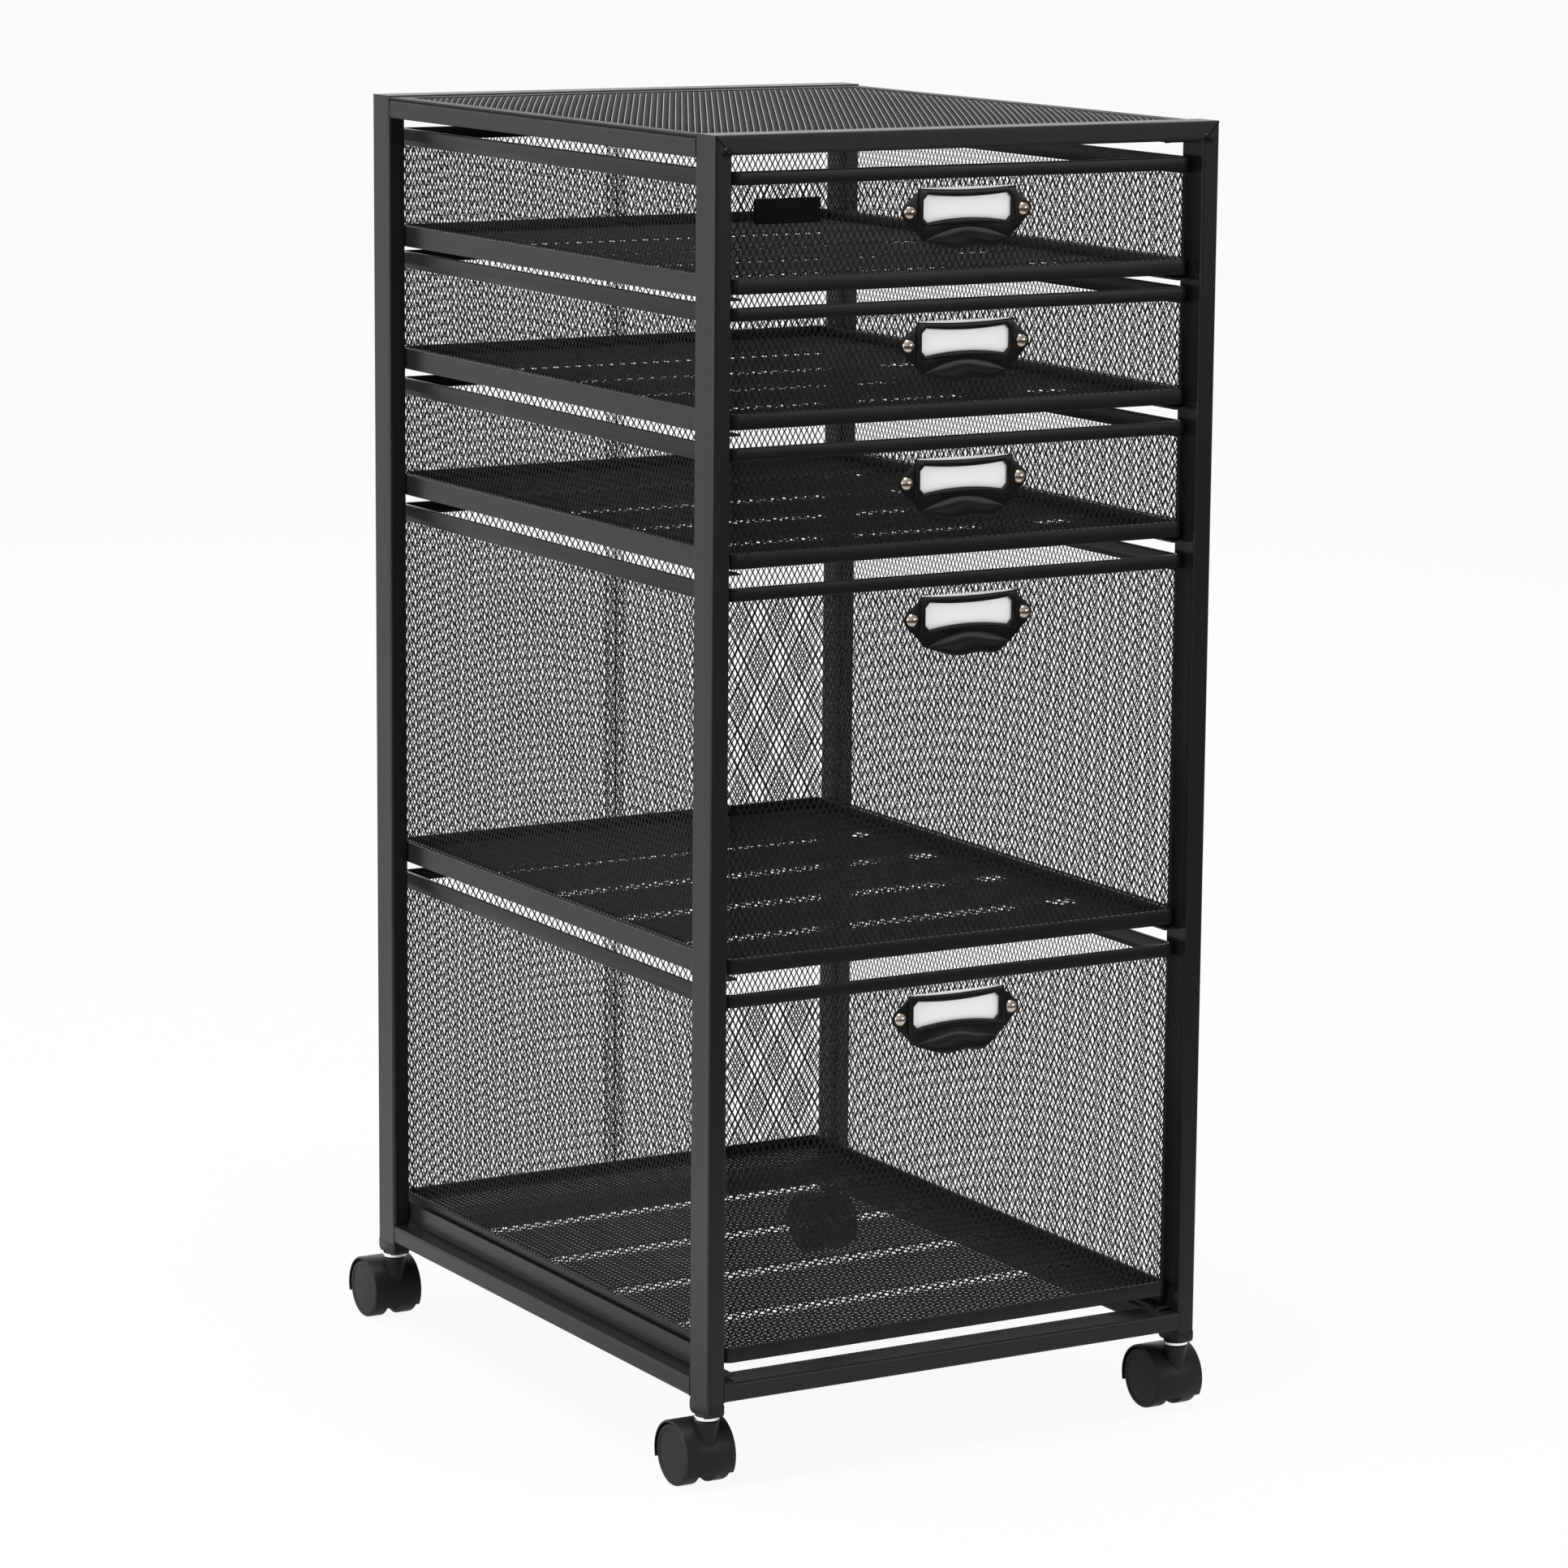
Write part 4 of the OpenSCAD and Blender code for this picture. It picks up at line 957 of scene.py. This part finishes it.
# %% Spin an outline about the axle, which runs along X
def turned(outline, steps=48, angle=math.tau, start_angle=0.0):
    """The outline is a list of (x, radius). Angles run from straight up towards the front."""
    bm = bmesh.new()
    verts = []
    for x, radius in outline:
        point = Vector((x, 0, radius))
        point.rotate(Matrix.Rotation(start_angle, 3, "X"))
        verts.append(bm.verts.new(point))
    whole = angle >= math.tau
    edges = [bm.edges.new(pair) for pair in zip(verts, verts[1:])]
    if not whole:
        edges.append(bm.edges.new((verts[-1], verts[0])))
    bmesh.ops.spin(bm, geom=verts + edges, cent=(0, 0, 0), axis=(1, 0, 0), angle=angle,
                   steps=steps, use_merge=whole)
    bmesh.ops.remove_doubles(bm, verts=bm.verts[:], dist=0.0005)
    if not whole:
        bmesh.ops.edgeloop_fill(bm, edges=[e for e in bm.edges if e.is_boundary])
    return bm


# %% The two wheels
DISC_DEPTH, BORE, HUB, TREAD = 2.4, 2.1, 4.2, 2.2


def wheel_outline(sign, x0, x1, radius):
    """Half section of a wheel from its inner side to its outer disc, with a shallow dish."""
    wide = x1 - x0
    disc = wide - DISC_DEPTH
    row = [(disc, 0.0), (disc, BORE), (0.0, BORE), (0.0, HUB), (disc, HUB),
           (disc, radius - TREAD), (0.0, radius - TREAD), (0.0, radius - 0.25), (0.25, radius)]
    # The tread's outer edge is rounded, and a step parts it from the dished disc
    row += [(wide - 1.4, radius), (wide - 0.85, radius - 0.12), (wide - 0.4, radius - 0.42),
            (wide - 0.12, radius - 0.85), (wide, radius - 1.5), (wide - 0.05, radius - 2.6),
            (wide - 0.35, radius - 2.9), (wide - 0.4, radius - 3.3),
            (wide - 0.25, radius - 4.6), (wide - 0.1, 5.0), (wide - 0.05, 0.0)]
    return [(sign * (x0 + x), reach) for x, reach in row]


for corner in CORNERS:
    axle = node_middle(f"{corner}_caster_axle")
    for side, sign in (("a", -1), ("b", 1)):
        node = f"{corner}_caster_wheel_{side}"
        low, high = node_box(node)
        reach = sorted((abs(low.x - axle.x), abs(high.x - axle.x)))
        bm = turned(wheel_outline(sign, *reach, (high.z - low.z) / 2), steps=64)
        shift(bm, axle)
        finish_piece(bm, f"{node}_tread", f"{corner}_wheel_{side}",
                     WHEEL_PLASTIC, stands_for=[node], smooth=30)
print("wheels of radius", (high.z - low.z) / 2)

# %% [markdown]
# The hood is a thin shell spun over the wheels, and a web stands between them. The stem boss is
# a cone that sinks into the shell: its points that would stand inside are pushed out to the
# shell's wall.


# %% The hood, its web and the stem boss
HOOD_WALL, HOOD_EDGE, HOOD_SOFT = 1.2, 0.9, 0.3
WEB_HALF, WEB_LAP, WEB_SLOPE = 4.2, 0.2, 0.1
SKIRT_FRONT, SKIRT_REAR = 119.5, -106.5
BOSS_LIFT, BOSS_WAIST, BOSS_FLARE, BOSS_LIP, BOSS_STEPS = 3.0, 4.2, 2.0, 0.5, 12
STEM_HOLE, HOLE_DEPTH = 2.6, 3.0


def build_hood(outer, half):
    """The shell and the web, about the axle."""
    inner = outer - HOOD_WALL
    right = [(half - HOOD_EDGE, outer), (half - HOOD_SOFT, outer - HOOD_SOFT),
             (half, outer - HOOD_EDGE), (half, inner)]
    section = [(-x, radius) for x, radius in reversed(right)] + right
    front, rear = math.radians(SKIRT_FRONT), math.radians(SKIRT_REAR)
    shell = turned(section, steps=56, angle=front - rear, start_angle=rear)
    rim = inner + WEB_LAP
    web = turned([(-WEB_HALF, 0.0), (-WEB_HALF, rim), (WEB_HALF, rim), (WEB_HALF, 0.0)])
    bmesh.ops.bisect_plane(web, geom=web.verts[:] + web.edges[:] + web.faces[:],
                           plane_co=(0, -outer, outer * math.cos(front)),
                           plane_no=(0, WEB_SLOPE, -1), clear_outer=True)
    bmesh.ops.edgeloop_fill(web, edges=[e for e in web.edges if e.is_boundary])
    merge_into(shell, web)
    return shell


def build_stem_boss(stem, axle, top, outer):
    """A tapered boss with a soft rim and a hole for the stem."""
    foot = axle.z + BOSS_LIFT
    rise = top - BOSS_LIP - foot
    shares = [k / BOSS_STEPS for k in range(BOSS_STEPS + 1)]
    slope = [(BOSS_WAIST + BOSS_FLARE * share, foot + rise * share) for share in shares]
    hole = [(STEM_HOLE, top), (STEM_HOLE, top - HOLE_DEPTH), (0.0, top - HOLE_DEPTH)]
    boss = lathe([(0.0, foot - 1.6), (2.4, foot - 1.2)] + slope + [(5.9, top)] + hole, 48)
    shift(boss, (stem.x, stem.y, 0))
    seat = outer - HOOD_WALL / 2
    for v in boss.verts:
        reach = Vector((0, v.co.y - axle.y, v.co.z - axle.z))
        if reach.length < seat:
            v.co += reach.normalized() * (seat - reach.length)
    return boss


for corner in CORNERS:
    node = f"{corner}_caster_housing"
    low, high = node_box(node)
    axle = node_middle(f"{corner}_caster_axle")
    outer = high.y - axle.y
    bm = bmesh.new()
    merge_into(bm, build_hood(outer, (high.x - low.x) / 2), axle)
    merge_into(bm, build_stem_boss(node_middle(f"{corner}_post"), axle, high.z, outer))
    finish_piece(bm, f"{corner}_caster_hood", f"{corner}_caster",
                 CASTER_PLASTIC, stands_for=[node], smooth=35)
print("hoods of radius", round(outer, 2))

# %% [markdown]
# Between the hood and the post shows a bright zinc collar, which is one turned piece with the
# stem. The post's lower end holds it in a plastic socket. The socket's block is rounded only
# along its lower front and rear edges, so those are picked and bevelled first.

# %% Zinc collars and stems
STEM, COLLAR, COLLAR_LIFT = 2.5, 6.3, 0.3
stems = bmesh.new()
low, high = node_box("caster_stems")
collar_top = node_box("post_sockets")[0].z
collar_foot = node_box("front_left_caster_housing")[1].z + COLLAR_LIFT
stem_outline = [(0.0, low.z), (STEM - 0.3, low.z), (STEM, low.z + 0.4), (STEM, collar_foot),
                (COLLAR - 0.6, collar_foot), (COLLAR, collar_foot + 0.5),
                (COLLAR, collar_top - 0.4), (COLLAR - 0.4, collar_top), (STEM, collar_top),
                (STEM, high.z - 0.5), (STEM - 0.5, high.z), (0.0, high.z)]
for corner in CORNERS:
    middle = node_middle(f"{corner}_post")
    merge_into(stems, lathe(stem_outline), (middle.x, middle.y, 0))
finish_piece(stems, "zinc_stems", "frame", ZINC, stands_for=["caster_stems"],
             smooth=30)
print("zinc collars from", round(collar_foot, 1), "to", round(collar_top, 1))

# %% Plastic sockets in the posts' ends
SOCKET_ROUND, SOCKET_SOFT, SOCKET_SHY = 3.0, 0.45, 0.12
PLUG_SHY, PLUG_LAP, PLUG_SOFT = 1.2, 1.0, 0.5
sockets = bmesh.new()
low, high = node_box("post_sockets")
for corner in CORNERS:
    post_low, post_high = node_box(f"{corner}_post")
    block = bmesh.new()
    add_box(block, (post_low.x + SOCKET_SHY, post_low.y + SOCKET_SHY, low.z),
            (post_high.x - SOCKET_SHY, post_high.y - SOCKET_SHY, POST_FOOT))
    lower = [e for e in block.edges if all(v.co.z < low.z + 1 for v in e.verts)
             and abs(e.verts[0].co.x - e.verts[1].co.x) > 1]
    soften(block, lower, SOCKET_ROUND, 6)
    sharp = [e for e in block.edges if e.calc_face_angle(0) > math.radians(40)]
    soften(block, sharp, SOCKET_SOFT, 2)
    merge_into(sockets, block)
    plug = bmesh.new()
    add_box(plug, (post_low.x + PLUG_SHY, post_low.y + PLUG_SHY, POST_FOOT - PLUG_LAP),
            (post_high.x - PLUG_SHY, post_high.y - PLUG_SHY, high.z), PLUG_SOFT)
    merge_into(sockets, plug)
finish_piece(sockets, "moulded_post_sockets", "frame", CASTER_PLASTIC,
             stands_for=["post_sockets"], smooth=40)
print("post sockets from", round(low.z, 1))

# %% [markdown]
# ## The studio
# A pale floor and a white surround give the plain picture. Black paint shows mostly what it
# mirrors, so both have a second level that only reflections see. On the floor it is painted light
# and shade: a pool of light beside the cart, a shadow under it, and darker in front. The surround
# is brighter towards the rear left. Four soft lamps do the lighting.


# %% Which rays see the floor and the surround
def direct_sight(tree, rays):
    """1 for camera rays, reflections and glass, and 0 for the rays that light the cart."""
    seen = math_node(tree, "MAXIMUM", rays.outputs["Is Camera Ray"],
                     rays.outputs["Is Glossy Ray"])
    return math_node(tree, "MAXIMUM", seen, rays.outputs["Is Transmission Ray"])


def level_in_reflections(tree, rays, level):
    """The given level in a reflection, and 1 for every other ray."""
    change = math_node(tree, "MULTIPLY", rays.outputs["Is Glossy Ray"],
                       math_node(tree, "SUBTRACT", level, 1.0))
    return math_node(tree, "ADD", change, 1.0)


def join_shaders(tree, share, first, second, out):
    mix = add_node(tree, "ShaderNodeMixShader")
    tree.links.new(share, mix.inputs[0])
    tree.links.new(first.outputs[0], mix.inputs[1])
    tree.links.new(second.outputs[0], mix.inputs[2])
    tree.links.new(mix.outputs[0], out.inputs[0])


# %% The floor and the surround
WHITE = (1, 1, 1, 1)
FLOOR_SIZE, FLOOR_COLOUR, FLOOR_GLOW = 30.0, (0.88, 0.88, 0.88, 1), 0.92
# Reflections see a painted pool of light round the cart, a painted shadow under it, and a floor
# darker towards the front
PAINTED_POOL_LEVEL, DIM_FRONT, DIM_REAR = 1.25, 0.03, 1.0
FRONT_TO_REAR, NEAR_TO_FAR, CART_SHADOW_REACH = (-0.5, 0.3), (0.3, 1.0), (0.12, 0.34)
CART_SHADOW_LEVELS = (0.3, 1.0)
REAR_LEFT, SURROUND_LEVELS, FILL_LEVEL = (-0.504, 0.864, 0.0), (0.35, 1.35), 0.55


def build_stage():
    bm = bmesh.new()
    bmesh.ops.create_grid(bm, x_segments=1, y_segments=1, size=FLOOR_SIZE)
    mesh = bpy.data.meshes.new("floor")
    bm.to_mesh(mesh)
    bm.free()
    floor = add_object("floor", mesh)
    material = bpy.data.materials.new("pale floor")
    material.use_nodes = True
    tree = material.node_tree
    tree.nodes.clear()
    out = add_node(tree, "ShaderNodeOutputMaterial")
    matt = add_node(tree, "ShaderNodeBsdfDiffuse", Color=FLOOR_COLOUR)
    glow = add_node(tree, "ShaderNodeEmission", Color=WHITE, Strength=1.0)
    rays = add_node(tree, "ShaderNodeLightPath")
    # In a reflection the floor has a painted pool of light round the cart and a painted shadow
    # under it, and farther off it is dim towards the front
    place = add_node(tree, "ShaderNodeTexCoord")
    far = add_node(tree, "ShaderNodeVectorMath", operation="LENGTH")
    split = add_node(tree, "ShaderNodeSeparateXYZ")
    tree.links.new(place.outputs["Object"], far.inputs[0])
    tree.links.new(place.outputs["Object"], split.inputs[0])
    ahead = map_node(tree, split.outputs["Y"], FRONT_TO_REAR, (DIM_FRONT, DIM_REAR))
    near = map_node(tree, far.outputs["Value"], NEAR_TO_FAR, (1.0, 0.0))
    lit = math_node(tree, "MULTIPLY", near, math_node(tree, "SUBTRACT", PAINTED_POOL_LEVEL, ahead))
    # Painted shadow: in reflections the floor is dimmer under the cart, where its shadow falls.
    under = map_node(tree, far.outputs["Value"], CART_SHADOW_REACH, CART_SHADOW_LEVELS)
    level = math_node(tree, "MULTIPLY", math_node(tree, "ADD", ahead, lit), under)
    tree.links.new(level_in_reflections(tree, rays, level), glow.inputs["Strength"])
    share = math_node(tree, "MULTIPLY", direct_sight(tree, rays), FLOOR_GLOW)
    join_shaders(tree, share, matt, glow, out)
    mesh.materials.append(material)


def build_world():
    world = bpy.data.worlds.new("studio surround")
    bpy.context.scene.world = world
    world.use_nodes = True
    tree = world.node_tree
    tree.nodes.clear()
    out = add_node(tree, "ShaderNodeOutputWorld")
    seen = add_node(tree, "ShaderNodeBackground", Color=WHITE, Strength=1.0)
    fill = add_node(tree, "ShaderNodeBackground", Color=WHITE, Strength=FILL_LEVEL)
    rays = add_node(tree, "ShaderNodeLightPath")
    # Reflections find the surround brighter towards the rear left than towards the front right
    place = add_node(tree, "ShaderNodeTexCoord")
    facing = add_node(tree, "ShaderNodeVectorMath", operation="DOT_PRODUCT")
    facing.inputs[1].default_value = REAR_LEFT
    tree.links.new(place.outputs["Generated"], facing.inputs[0])
    level = map_node(tree, facing.outputs["Value"], (-1.0, 1.0), SURROUND_LEVELS)
    tree.links.new(level_in_reflections(tree, rays, level), seen.inputs["Strength"])
    join_shaders(tree, direct_sight(tree, rays), fill, seen, out)


build_stage()
build_world()
bpy.context.scene.view_settings.view_transform = "Standard"
print("floor and surround")


# %% Soft lights
def soft_light(name, place, target, size, power, colour=(1, 1, 1)):
    data = bpy.data.lights.new(name, "AREA")
    data.shape = "RECTANGLE"
    data.size, data.size_y = size
    data.energy = power
    data.color = colour
    light = add_object(name, data)
    aim = Vector(target) - Vector(place)
    light.location = place
    light.rotation_euler = aim.to_track_quat("-Z", "Y").to_euler()


soft_light("left softbox", (-2.6, 0.2, 0.9), (0, 0, 0.35), (1.8, 1.8), 55)
soft_light("overhead softbox", (-0.3, -0.4, 2.6), (0, 0, 0.4), (1.0, 1.0), 30)
soft_light("front fill", (1.6, -2.8, 1.15), (0, 0, 0.5), (1.6, 0.8), 20)
soft_light("warm rear", (1.2, 3.0, 1.3), (0, 0, 0.6), (2.4, 1.0), 13, (1.0, 0.9, 0.8))
print("four soft lights")

# %% [markdown]
# The camera stands to the left of the cart and a little above it. It is far off and has a long
# lens, so the posts stay almost parallel, as in the photo. Its place was fitted to the
# frame's corners, and its turn is given as three angles, because it aims past the cart's
# middle and leans a little.

# %% The camera
YAW, PITCH, ROLL = 0.528, 0.181, 0.008
FOCAL, SENSOR, FAR_CLIP = 127.25, 36.0, 100.0
CAMERA_SPOT = Vector((-1414.2, -2430.5 + MIDDLE_Y, 780.3 + POST_FOOT)) * MM


def build_camera():
    ahead = Vector((math.sin(YAW) * math.cos(PITCH), math.cos(YAW) * math.cos(PITCH),
                    -math.sin(PITCH)))
    side = Vector((math.cos(YAW), -math.sin(YAW), 0))
    over = side.cross(ahead)
    right = side * math.cos(ROLL) + over * math.sin(ROLL)
    up = over * math.cos(ROLL) - side * math.sin(ROLL)
    data = bpy.data.cameras.new("camera")
    data.lens = FOCAL
    data.sensor_width = SENSOR
    data.clip_end = FAR_CLIP
    camera = add_object("camera", data)
    turn = Matrix((right, up, -ahead)).transposed()
    camera.matrix_world = Matrix.Translation(CAMERA_SPOT) @ turn.to_4x4()
    bpy.context.scene.camera = camera


build_camera()
print("camera at", [round(c, 3) for c in CAMERA_SPOT])
